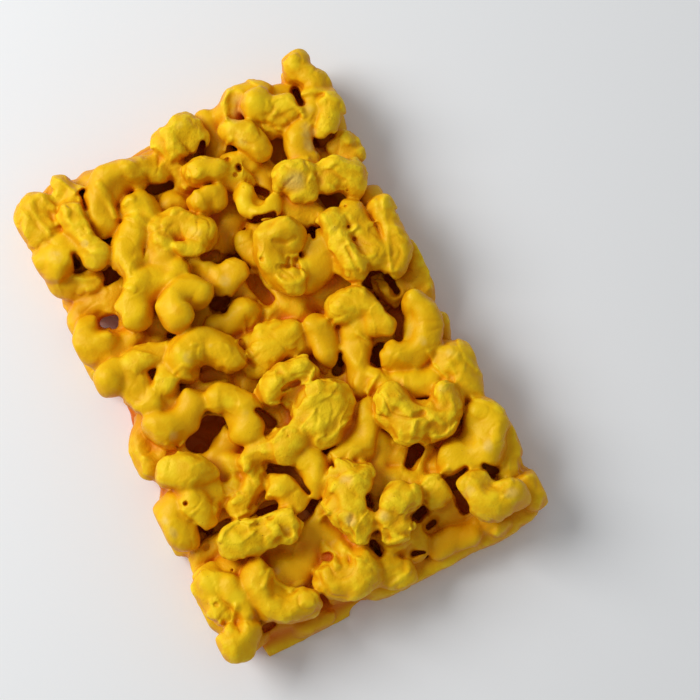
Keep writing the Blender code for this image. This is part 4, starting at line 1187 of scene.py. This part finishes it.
    def normals(self, points: np.ndarray) -> np.ndarray:
        """Work out which way the surface faces at points on it.

        Args:
            points: The points, in millimetres.

        Returns:
            One unit vector a point.
        """
        step = self.slope_step * self.cell
        slopes = []
        for axis in np.eye(3) * step:
            slopes.append(
                self.sampled(self.values, points + axis) - self.sampled(self.values, points - axis)
            )
        facing = np.stack(slopes, 1)
        return facing / np.maximum(np.linalg.norm(facing, axis=1, keepdims=True), TINY)

    def blurred(self, reach: float) -> np.ndarray:
        """Average the distances over boxes, which is above 0 on bulges and below in creases.

        Args:
            reach: Half the side of a box, in millimetres.

        Returns:
            The averages, one a cell.
        """
        count = max(1, round(reach / self.cell))
        soft = self.values
        for axis in range(3):
            sizes = [(count + 1, count) if side == axis else (0, 0) for side in range(3)]
            total = np.cumsum(np.pad(soft, sizes, mode="edge"), axis=axis, dtype=np.float64)
            upper = np.take(total, range(2 * count + 1, total.shape[axis]), axis=axis)
            lower = np.take(total, range(total.shape[axis] - 2 * count - 1), axis=axis)
            soft = ((upper - lower) / (2 * count + 1)).astype(np.float32)
        return soft


@dataclass
class NutSlab:
    """The slab: nuts in two layers and a poured sheet, pressed into the mould."""

    mould: Mould = Mould()
    sheet: Sheet = Sheet()
    filling: Filling = Filling()
    gapping: Gapping = Gapping()
    hole: Hole = Hole()
    mark_rule: MarkRule = MarkRule()
    cell: float = 0.42
    quick_cell: float = 0.8
    fillet: float = 1.5
    coat: float = 1.25
    pieces: int = 4
    most_faces: int = 780_000

    def laid_nuts(self) -> list[Nut]:
        """List the nuts that show from above, with the coat inside their bends.

        Returns:
            The nuts, in the order in which they are joined.
        """
        nuts = []
        for region in REGIONS:
            for start, bend, end, height, thick, rise, skin in region:
                places = [(x + LAYOUT_SHIFT, y + LAYOUT_SHIFT) for x, y in (start, bend, end)]
                nuts += Nut(*places, height, thick + self.coat, rise, skin).with_web()
        return nuts

    def lumps(self) -> list[Lump]:
        """List the rounder lumps on the nuts.

        Returns:
            The lumps.
        """
        made = []
        for (x, y), height, radius, flat, skin in LUMPS:
            made.append(Lump((x + LAYOUT_SHIFT, y + LAYOUT_SHIFT), height, radius, flat, skin))
        return made

    def edge_nuts(self) -> list[Nut]:
        """List the lower nuts along the mould wall.

        Returns:
            The nuts.
        """
        made = []
        for start, bend, end, height, thick, rise, skin in EDGE:
            made.append(Nut(start, bend, end, height, thick + self.coat, rise, skin))
        return made

    def fill_nuts(self) -> list[Nut]:
        """Draw the lower nuts inside the ring, in seeded places and directions.

        Returns:
            The nuts.
        """
        rule = self.filling
        draw = random.Random(rule.seed)
        nuts = []
        for row in range(*rule.rows):
            shift = row % 2 * rule.offset
            for column in range(*rule.columns):
                place = Vector((
                    column * rule.spacing[0] + draw.uniform(-rule.stray, rule.stray) + shift,
                    row * rule.spacing[1] + draw.uniform(-rule.stray, rule.stray),
                ))
                thick = draw.uniform(*rule.thick) + self.coat
                half = draw.uniform(*rule.chord) / 2
                turn = draw.uniform(0, math.pi)
                along = Vector((math.cos(turn), math.sin(turn))) * half
                aside = along.orthogonal() * draw.uniform(-rule.bend, rule.bend)
                lift = draw.uniform(*rule.lift)
                if abs(place.x) < self.mould.width / 2 - rule.inset:
                    ends = (tuple(place - along), tuple(place + aside), tuple(place + along))
                    nuts.append(Nut(*ends, lift, thick, 0, LUMPY))
        return nuts

    def sheet_distance(self, space: Field) -> np.ndarray:
        """Measure how far the block's cells are outside the poured sheet.

        Args:
            space: The block of distances.

        Returns:
            One distance a cell.
        """
        sheet, half_length = self.sheet, self.mould.length / 2
        x, y, z = space.axes()
        back = sheet.slope / sheet.height * np.maximum(z - sheet.rim, 0)
        half_width = self.mould.width / 2 - sheet.inset - back
        low_end = sheet.south_inset - half_length + back
        high_end = half_length - sheet.inset - back
        sides = np.maximum(np.abs(x) - half_width, np.maximum(low_end - y, y - high_end))
        corner = np.abs(x) + np.abs(y) - half_width - half_length + sheet.corner
        sides = np.maximum(sides, np.minimum(sheet.west_end - x, sheet.step - y))
        (notch_x, notch_y), reach = sheet.notch
        sides = np.maximum(sides, reach - np.hypot(x - notch_x, y - notch_y))
        lumps = space.waves(sheet.top_waves)
        uneven = space.waves(sheet.side_waves)
        sides = sides + uneven * ease((z - sheet.side_foot) / sheet.side_fade)
        sides = np.maximum(sides, corner * math.sqrt(0.5))
        return blend_high(sides, z - sheet.height + lumps, sheet.rounding)

    def relief(self, space: Field) -> None:
        """Wrinkle the coat, most where its skin is rough.

        Args:
            space: The block of distances.
        """
        rule, rough = WRINKLES, space.skin
        near = rule.share(space.values)
        lumps = space.waves(rule.lumps)
        mounds = space.waves(rule.mounds)
        flakes = sum(
            strength * np.tanh(rule.flake_edge * space.noise(size, seed))
            for strength, size, seed in rule.flakes
        )
        crumbs = np.maximum(space.noise(*rule.crumbs) - rule.crumb_level, 0)
        valleys = fold(space.noise(*rule.valleys), rule.valley_width)
        patchy = ease(rule.patch_level + rule.patch_contrast * space.noise(*rule.patches))
        raised = (rule.smooth_lumps + rule.rough_lumps * rough) * lumps
        raised += rule.flake_height * rough * flakes
        crumbly = mounds + rule.crumb_height * crumbs
        raised += rough * between(rule.mound_least, patchy) * crumbly
        raised -= rule.valley_depth * rough * between(rule.valley_least, patchy) * valleys
        ridges = fold(space.noise(*rule.ridges), rule.ridge_width)
        patchy = ease(rule.ridge_level + rule.ridge_contrast * space.noise(*rule.ridge_patches))
        raised += rule.ridge_height * rough * patchy * ridges
        space.values -= near * raised

    def details(self, space: Field) -> None:
        """Add the folds and pits that show, and clear the gaps.

        Args:
            space: The block of distances.
        """
        rule = WRINKLES
        for width, height, line in FOLDS:
            space.lift(line, rule.fold_width * width, rule.fold_height * height)
        for place, reach, depth in PITS:
            space.lift((place, place), reach * rule.pit_reach, -depth * rule.pit_depth)
        cut = self.gapping
        for start, end, reach, floor in GAPS:
            reach = cut.last_reach(reach)
            space.carve((start, end), reach, floor + cut.floor_rise, cut.last_rounding)

    def open_hole(self, space: Field) -> None:
        """Cut the one gap that goes through to the table, with a low way out to the side.

        Args:
            space: The block of distances.
        """
        hole = self.hole
        space.carve(hole.line, hole.reach, BELOW_ALL, hole.rounding)
        x, y, z = space.axes()
        gone = np.maximum(hole.way_start - x, 0)
        aside = hole.way_narrowing * (y - hole.way_middle - hole.way_turn * gone)
        away = np.hypot(aside, z - hole.way_level) - hole.way_reach - hole.way_widening * gone
        away = blend_high(away, x - hole.way_end, hole.rounding)
        away = away + hole.way_warp * space.warp[1]
        space.values = blend_high(space.values, -away, hole.way_rounding)

    def pressed(self, space: Field) -> np.ndarray:
        """Flatten what reaches past the mould's walls or floor.

        Args:
            space: The block of distances.

        Returns:
            The distances of what is inside the mould.
        """
        x, y, z = space.axes()
        walls = np.maximum(
            np.abs(x) - self.mould.width / 2, np.abs(y) - self.mould.length / 2
        )
        inside = blend_high(space.values, walls, self.mould.rounding)
        return blend_high(inside, -z, self.mould.floor_rounding)

    def build(self) -> list[bpy.types.Object]:
        """Make the slab's meshes.

        Returns:
            The pieces, cut across the slab.
        """
        space = Field(cell=self.cell)
        shade = random.Random(self.filling.seed)
        for nut in self.edge_nuts() + self.fill_nuts():
            space.join(nut, self.fillet, shade.random())
        space.values = blend_low(space.values, self.sheet_distance(space), self.fillet)
        cut = self.gapping
        for start, end, reach, floor in GAPS:
            reach += cut.first_wider
            space.carve((start, end), reach, floor + cut.floor_rise, cut.first_rounding)
        for start, end, reach in NOTCHES:
            space.carve((start, end), reach, BELOW_ALL, cut.first_rounding)
        for form in self.laid_nuts() + self.lumps():
            space.join(form, self.fillet, shade.random())
        self.relief(space)
        self.details(space)
        self.open_hole(space)
        space.values = self.pressed(space).astype(np.float32)
        return self.meshed(space)

    def thinned(self, points: np.ndarray, quads: np.ndarray) -> tuple[np.ndarray, np.ndarray]:
        """Bring a surface under the limit of triangles.

        Args:
            points: The surface's points, in millimetres.
            quads: The indices of each face's corners.

        Returns:
            The points and the triangles that are kept.
        """
        whole = new_piece("coated_slab", points * MM, quads)
        thin = whole.modifiers.new("thin", "DECIMATE")
        thin.ratio = min(1.0, self.most_faces / (2 * len(quads)))
        graph = bpy.context.evaluated_depsgraph_get()
        mesh = whole.evaluated_get(graph).to_mesh()
        mesh.calc_loop_triangles()
        kept = np.empty(len(mesh.vertices) * 3, np.float32)
        mesh.vertices.foreach_get("co", kept)
        faces = np.empty(len(mesh.loop_triangles) * 3, np.int32)
        mesh.loop_triangles.foreach_get("vertices", faces)
        bpy.data.objects.remove(whole, do_unlink=True)
        return kept.reshape(-1, 3) / MM, faces.reshape(-1, 3)

    def meshed(self, space: Field) -> list[bpy.types.Object]:
        """Draw the surface of the block as meshes, cut across the slab.

        Args:
            space: The block of distances.

        Returns:
            The pieces.
        """
        grid = openvdb.FloatGrid(FAR_OFF)
        grid.copyFromArray(space.values)
        points, quads = grid.convertToQuads(isovalue=0.0)
        points, faces = self.thinned(points * space.cell + np.array(space.low), quads)
        a, b, c = (points[faces[:, corner]] for corner in range(3))
        volume = np.einsum("ij,ij->i", a, np.cross(b, c)).sum() / (6 * CUBIC_CM)
        LOG.info("surface: %d quads, %d kept faces, %.0f cm3", len(quads), len(faces), volume)
        facing = space.normals(points)
        marks = self.marks(space, points, facing)
        for name, values in marks.items():
            LOG.info("mark %s: mean %.2f, most %.2f", name, values.mean(), values.max())
        order = np.argsort(points[faces].mean(1)[:, 1], kind="stable")
        made = []
        for index, chosen in enumerate(np.array_split(order, self.pieces), start=1):
            used, corners = np.unique(faces[chosen], return_inverse=True)
            piece = new_piece(f"coated_slab_{index}", points[used] * MM, corners.reshape(-1, 3))
            piece.data.shade_smooth()
            piece.data.normals_split_custom_set_from_vertices(facing[used])
            for name, values in marks.items():
                layer = piece.data.attributes.new(name, "FLOAT", "POINT")
                layer.data.foreach_set("value", values[used].astype(np.float32))
            made.append(piece)
        return made

    def marks(
        self, space: Field, points: np.ndarray, facing: np.ndarray
    ) -> dict[str, np.ndarray]:
        """Work out what the coat's colour depends on, at points on the surface.

        Args:
            space: The block of distances.
            points: The points, in millimetres.
            facing: Which way the surface faces there.

        Returns:
            One share a point, for each mark.
        """
        rule, height = self.mark_rule, points[:, 2]
        bulge = space.sampled(space.blurred(rule.bulge_reach), points)
        # Painted shade: the distance averaged over wide boxes is low in hollows, which are
        # darkened
        sunk = space.sampled(space.blurred(rule.sunk_reach), points)
        across = self.mould.width / 2 - np.abs(points[:, 0])
        along = self.mould.length / 2 - np.abs(points[:, 1])
        inside = ease((np.minimum(across, along) - rule.wall_inset) / rule.wall_fade)
        hollow_shade = ease((rule.sunk_level - sunk) / rule.sunk_fade)
        floor_shade = inside * ease((rule.floor_top - height) / rule.floor_fade)
        return {
            "rough": space.sampled(space.skin, points),
            "tint": space.sampled(space.tint, points),
            # Partly painted highlight: 1 on bulging crests, which turn lemon where the skin is
            # rough
            "crest_bloom_and_highlight": np.clip(bulge / rule.crest_full, 0, 1),
            # Painted shade: 1 deep in creases between forms
            "crease_shade": np.clip(-bulge / rule.crease_full, 0, 1),
            # Painted light: 1 where the surface faces up, 0 where it faces aside
            "painted_top_light": ease((facing[:, 2] - rule.top_light_start) / rule.top_light_fade),
            # Painted shade: the lower nuts between the upper ones, away from the walls
            "low": inside * ease((rule.low_top - height) / rule.low_fade),
            # Painted shade: dark in hollows and low down, away from the walls
            "sunk": np.maximum(hollow_shade, floor_shade),
            # Painted highlight, with the thin coat: pale spots on the upper nuts
            "pale": self.spotted(space, points, PALE_HIGHLIGHTS),
            "lemon": self.spotted(space, points, LEMON),
        }

    def spotted(
        self, space: Field, points: np.ndarray, spots: tuple[tuple[Place, float], ...]
    ) -> np.ndarray:
        """Work out how far points of the surface lie in ragged spots on the upper nuts.

        Args:
            space: The block of distances.
            points: The points, in millimetres.
            spots: The middle and the reach of each spot.

        Returns:
            One share a point.
        """
        rule = self.mark_rule
        read_x, read_y = read_place(*points.T)
        jitter = rule.spot_ragged * space.sampled(space.noise(*rule.spot_waves), points)
        shares = []
        for (x, y), reach in spots:
            away = np.hypot(read_x - x, read_y - y) + jitter
            shares.append(ease(rule.spot_edge * (1 - away / reach)))
        return np.max(shares, axis=0) * rule.upper(points[:, 2])


def new_piece(name: str, points: np.ndarray, faces: np.ndarray) -> bpy.types.Object:
    """Make an object from points and faces that all have as many corners.

    Args:
        name: The object's name.
        points: The points, in metres.
        faces: The indices of each face's corners.

    Returns:
        The object, linked to the scene.
    """
    mesh = bpy.data.meshes.new(name)
    sides = faces.shape[1]
    mesh.vertices.add(len(points))
    mesh.vertices.foreach_set("co", np.ascontiguousarray(points, np.float32).ravel())
    mesh.loops.add(faces.size)
    mesh.loops.foreach_set("vertex_index", np.ascontiguousarray(faces, np.int32).ravel())
    mesh.polygons.add(len(faces))
    mesh.polygons.foreach_set("loop_start", np.arange(0, faces.size, sides, dtype=np.int32))
    mesh.update(calc_edges=True)
    mesh.validate()
    made = bpy.data.objects.new(name, mesh)
    bpy.context.scene.collection.objects.link(made)
    return made


def new_group(name: str, inputs: dict[str, float], output: str) -> bpy.types.ShaderNodeTree:
    """Start a node group with number inputs and one number output.

    Args:
        name: The group's name.
        inputs: The inputs and their usual values.
        output: The output's name.

    Returns:
        The group, with its input and output nodes.
    """
    group = bpy.data.node_groups.new(name, "ShaderNodeTree")
    for label, value in inputs.items():
        socket = group.interface.new_socket(label, in_out="INPUT", socket_type="NodeSocketFloat")
        socket.default_value = value
    group.interface.new_socket(output, in_out="OUTPUT", socket_type="NodeSocketFloat")
    group.nodes.new("NodeGroupInput")
    group.nodes.new("NodeGroupOutput")
    return group


def noise_in(group: bpy.types.ShaderNodeTree, detail: float) -> bpy.types.NodeSocket:
    """Add noise in the object's own space to a node group that has a Scale.

    Args:
        group: The node group.
        detail: The noise's levels of detail.

    Returns:
        The noise's socket.
    """
    place = group.nodes.new("ShaderNodeTexCoord")
    noise = group.nodes.new("ShaderNodeTexNoise")
    noise.inputs["Detail"].default_value = detail
    group.links.new(place.outputs["Object"], noise.inputs["Vector"])
    group.links.new(group.nodes["Group Input"].outputs["Scale"], noise.inputs["Scale"])
    return noise.outputs["Fac"]


def math_node(
    tree: bpy.types.NodeTree, operation: str, one: bpy.types.NodeSocket, other: object = 0.0
) -> bpy.types.NodeSocket:
    """Join two numbers by one sum.

    Args:
        tree: The nodes of a material or group.
        operation: The kind of sum.
        one: The first number's socket.
        other: The second number, or its socket.

    Returns:
        The result's socket.
    """
    node = tree.nodes.new("ShaderNodeMath")
    node.operation = operation
    tree.links.new(one, node.inputs[0])
    if isinstance(other, bpy.types.NodeSocket):
        tree.links.new(other, node.inputs[1])
    else:
        node.inputs[1].default_value = other
    return node.outputs["Value"]


def clouds_group() -> bpy.types.ShaderNodeTree:
    """Make soft clouds: a mask that rises from 0 to 1 between two levels of noise.

    Returns:
        The node group.
    """
    group = new_group("soft_clouds", {"Scale": 150, "Low": 0.4, "High": 0.6}, "Mask")
    given, result = group.nodes["Group Input"], group.nodes["Group Output"]
    span = group.nodes.new("ShaderNodeMapRange")
    span.interpolation_type = "SMOOTHSTEP"
    group.links.new(noise_in(group, 3), span.inputs["Value"])
    group.links.new(given.outputs["Low"], span.inputs["From Min"])
    group.links.new(given.outputs["High"], span.inputs["From Max"])
    group.links.new(span.outputs["Result"], result.inputs["Mask"])
    return group


def crinkle_group() -> bpy.types.ShaderNodeTree:
    """Make fine crinkles: a height with ridges where noise crosses its middle.

    Returns:
        The node group.
    """
    group = new_group("fine_crinkle", {"Scale": 700, "Amount": 1}, "Height")
    given, result = group.nodes["Group Input"], group.nodes["Group Output"]
    centred = math_node(group, "SUBTRACT", noise_in(group, 2), 0.5)
    folded = math_node(group, "ABSOLUTE", centred)
    scaled = math_node(group, "MULTIPLY", folded, given.outputs["Amount"])
    group.links.new(scaled, result.inputs["Height"])
    return group


@dataclass(frozen=True)
class CoatFinish:
    """The yellow coat: golden, lemon where crumbly, with painted shade on its sides, in creases,
    on lower nuts and in gaps, and painted highlights.
    """

    # Golden where the surface faces up, as painted light; where it faces aside it takes the deeper
    # colour below, as painted shade
    golden: Colour = (0.90, 0.53, 0.003)
    # Deeper orange: the coat's own tone on some nuts, and painted shade on sides, in creases and
    # on the lower nuts
    amber_and_shade: Colour = (0.72, 0.265, 0.0006)
    # The painted shade of hollows and gaps
    deep_shade: Colour = (0.66, 0.13, 0.003)
    lemon: Colour = (0.95, 0.66, 0.012)
    # The pale spots: thin coat with painted highlight
    pale: Colour = (0.84, 0.55, 0.11)
    speck: Colour = (0.35, 0.13, 0.01)
    shine_tint: Colour = (1.0, 0.85, 0.45)
    shine: float = 0.26
    roughness: float = 0.34
    rougher: float = 0.18
    smooth_wrinkling: float = 0.15
    bump_distance: float = 0.0006
    bump_strength: float = 0.55

    def material(self) -> bpy.types.Material:
        """Make the coat's material.

        Returns:
            The material, whose colour follows the marks on the mesh.
        """
        made = bpy.data.materials.new("yellow_coat")
        made.use_nodes = True
        tree = made.node_tree
        surface = tree.nodes["Principled BSDF"]
        surface.inputs["Specular IOR Level"].default_value = self.shine
        surface.inputs["Specular Tint"].default_value = (*self.shine_tint, 1)
        rough = self.mark(tree, "rough")
        tree.links.new(self.colour(tree, rough), surface.inputs["Base Color"])

        dull = tree.nodes.new("ShaderNodeMath")
        dull.operation = "MULTIPLY_ADD"
        dull.inputs[1].default_value = self.rougher
        dull.inputs[2].default_value = self.roughness
        tree.links.new(rough, dull.inputs[0])
        tree.links.new(dull.outputs["Value"], surface.inputs["Roughness"])

        wrinkles = self.placed(tree, crinkle_group(), "Height", Scale=650, Amount=1)
        wrinkling = math_node(tree, "ADD", rough, self.smooth_wrinkling)
        bump = tree.nodes.new("ShaderNodeBump")
        bump.inputs["Distance"].default_value = self.bump_distance
        bump.inputs["Strength"].default_value = self.bump_strength
        tree.links.new(self.product(tree, wrinkles, wrinkling), bump.inputs["Height"])
        tree.links.new(bump.outputs["Normal"], surface.inputs["Normal"])
        return made

    def colour(
        self, tree: bpy.types.NodeTree, rough: bpy.types.NodeSocket
    ) -> bpy.types.NodeSocket:
        """Lay the coat's colours over each other by the marks on the mesh, painted light and shade
        among them.

        Args:
            tree: The material's nodes.
            rough: The mark of how rough the coat is.

        Returns:
            The colour's socket.
        """
        names = ("tint", "crest_bloom_and_highlight", "crease_shade", "pale", "lemon", "painted_top_light", "low", "sunk")
        tint, crest_bloom_and_highlight, crease_shade, pale, lemon, painted_top_light, low, sunk = (
            self.mark(tree, name) for name in names
        )
        clouds = clouds_group()
        broad = self.placed(tree, clouds, "Mask", Scale=110, Low=0.38, High=0.62)
        small = self.placed(tree, clouds, "Mask", Scale=420, Low=0.42, High=0.6)
        specks = self.placed(tree, clouds, "Mask", Scale=1300, Low=0.70, High=0.76)
        bloom_and_highlight_edges = self.product(tree, rough, crest_bloom_and_highlight)
        # Each layer's colour, its mask and the most that it covers, from the lowest up.
        layers = (
            # Painted shade in the creases
            (self.amber_and_shade, crease_shade, 0.8),
            (self.amber_and_shade, tint, 0.35),
            # Lemon on rough crests: the coat's crumbly colour and painted highlight
            (self.lemon, self.product(tree, bloom_and_highlight_edges, small), 0.9),
            (self.lemon, bloom_and_highlight_edges, 0.45),
            (self.lemon, lemon, 0.75),
            # Pale spots of painted highlight
            (self.pale, self.product(tree, pale, broad), 0.75),
            (self.speck, self.product(tree, specks, rough), 1.0),
            # Painted shade on the lower nuts
            (self.amber_and_shade, low, 0.8),
            # Painted shade in hollows and gaps
            (self.deep_shade, sunk, 1.0),
        )
        # Painted light and shade: golden where the surface faces up, deeper orange where it faces
        # aside
        colour = self.mixed(tree, self.amber_and_shade, self.golden, painted_top_light)
        for tone, mask, most in layers:
            colour = self.mixed(tree, colour, tone, self.product(tree, mask, most))
        return colour

    @staticmethod
    def mark(tree: bpy.types.NodeTree, name: str) -> bpy.types.NodeSocket:
        """Read one of the marks on the mesh.

        Args:
            tree: The material's nodes.
            name: The mark's name.

        Returns:
            The mark's socket.
        """
        node = tree.nodes.new("ShaderNodeAttribute")
        node.attribute_name = name
        return node.outputs["Fac"]

    @staticmethod
    def placed(
        tree: bpy.types.NodeTree, group: bpy.types.ShaderNodeTree, output: str, **values: float
    ) -> bpy.types.NodeSocket:
        """Place a node group with its own values.

        Args:
            tree: The material's nodes.
            group: The group to place.
            output: The output that is wanted.
            **values: The values of its inputs.

        Returns:
            The output socket.
        """
        node = tree.nodes.new("ShaderNodeGroup")
        node.node_tree = group
        for label, value in values.items():
            node.inputs[label].default_value = value
        return node.outputs[output]

    @staticmethod
    def product(
        tree: bpy.types.NodeTree, one: bpy.types.NodeSocket, other: object
    ) -> bpy.types.NodeSocket:
        """Multiply a mask by a number or by another mask."""
        return math_node(tree, "MULTIPLY", one, other)

    @staticmethod
    def mixed(
        tree: bpy.types.NodeTree, one: object, other: Colour, share: bpy.types.NodeSocket
    ) -> bpy.types.NodeSocket:
        """Mix a colour into another by a mask.

        Args:
            tree: The material's nodes.
            one: The first colour, or its socket.
            other: The colour to mix in.
            share: The mask's socket.

        Returns:
            The mixed colour's socket.
        """
        node = tree.nodes.new("ShaderNodeMix")
        node.data_type = "RGBA"
        if isinstance(one, bpy.types.NodeSocket):
            tree.links.new(one, node.inputs["A"])
        else:
            node.inputs["A"].default_value = (*one, 1)
        node.inputs["B"].default_value = (*other, 1)
        tree.links.new(share, node.inputs["Factor"])
        return node.outputs["Result"]


@dataclass
class Studio:
    """A pale floor, soft window light from the upper left, and the photo's camera."""

    floor_size: float = 3.0
    floor_drop: float = 0.0002
    floor_tone: Colour = (0.905, 0.918, 0.925)
    floor_roughness: float = 0.7
    floor_shine: float = 0.2
    lens: float = 92.1
    sensor: float = 36.0
    nearest: float = 0.01
    target: tuple[float, float, float] = (22.4, -12.0, 12.0)
    window_place: tuple[float, float, float] = (-0.56, 0.56, 0.65)
    window_aim: tuple[float, float, float] = (0.0, 0.0, 0.01)
    window_size: float = 0.6
    window_power: float = 8.8
    room_tone: Colour = (0.97, 0.98, 1.0)
    room_light: float = 0.36

    def floor(self) -> bpy.types.Object:
        """Lay the floor just under the slab.

        Returns:
            The floor.
        """
        bpy.ops.mesh.primitive_plane_add(size=self.floor_size, location=(0, 0, -self.floor_drop))
        floor = bpy.context.active_object
        floor.name = "floor"
        paint = bpy.data.materials.new("pale_floor")
        paint.use_nodes = True
        surface = paint.node_tree.nodes["Principled BSDF"]
        surface.inputs["Base Color"].default_value = (*self.floor_tone, 1)
        surface.inputs["Roughness"].default_value = self.floor_roughness
        surface.inputs["Specular IOR Level"].default_value = self.floor_shine
        floor.data.materials.append(paint)
        return floor

    def camera(self) -> bpy.types.Object:
        """Put the camera where the photo was taken from.

        Returns:
            The camera.
        """
        data = bpy.data.cameras.new("camera")
        data.lens = self.lens
        data.sensor_width = self.sensor
        data.clip_start = self.nearest
        camera = bpy.data.objects.new("camera", data)
        bpy.context.scene.collection.objects.link(camera)
        camera.location = self.shifted((*CAMERA_FOOT, CAMERA_HEIGHT))
        gaze = self.shifted(self.target) - camera.location
        camera.rotation_euler = gaze.to_track_quat("-Z", "Y").to_euler()
        bpy.context.scene.camera = camera
        return camera

    @staticmethod
    def shifted(place: tuple[float, float, float]) -> Vector:
        """Move a place with the layout of the nuts, and turn it into metres."""
        x, y, z = place
        return Vector((x + LAYOUT_SHIFT, y + LAYOUT_SHIFT, z)) * MM

    def lights(self) -> None:
        """Hang the soft light and the room's own light."""
        data = bpy.data.lights.new("window", "AREA")
        data.shape = "SQUARE"
        data.size = self.window_size
        data.energy = self.window_power
        window = bpy.data.objects.new("window", data)
        bpy.context.scene.collection.objects.link(window)
        window.location = Vector(self.window_place)
        gaze = Vector(self.window_aim) - window.location
        window.rotation_euler = gaze.to_track_quat("-Z", "Y").to_euler()
        world = bpy.data.worlds.new("room")
        world.use_nodes = True
        back = world.node_tree.nodes["Background"]
        back.inputs["Color"].default_value = (*self.room_tone, 1)
        back.inputs["Strength"].default_value = self.room_light
        bpy.context.scene.world = world
        bpy.context.scene.view_settings.view_transform = "Standard"


def main() -> None:
    """Build every piece of the scene, in order."""
    logging.basicConfig(level=logging.INFO, format="%(name)s: %(message)s")
    coat = CoatFinish().material()
    for piece in NutSlab().build():
        piece.data.materials.append(coat)
        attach(piece, "root")
        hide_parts("nut_slab")
        LOG.info("%s: %d faces", piece.name, len(piece.data.polygons))
    studio = Studio()
    studio.floor()
    studio.lights()
    studio.camera()
    LOG.info("studio: floor, window light and camera")


if __name__ == "__main__":
    main()
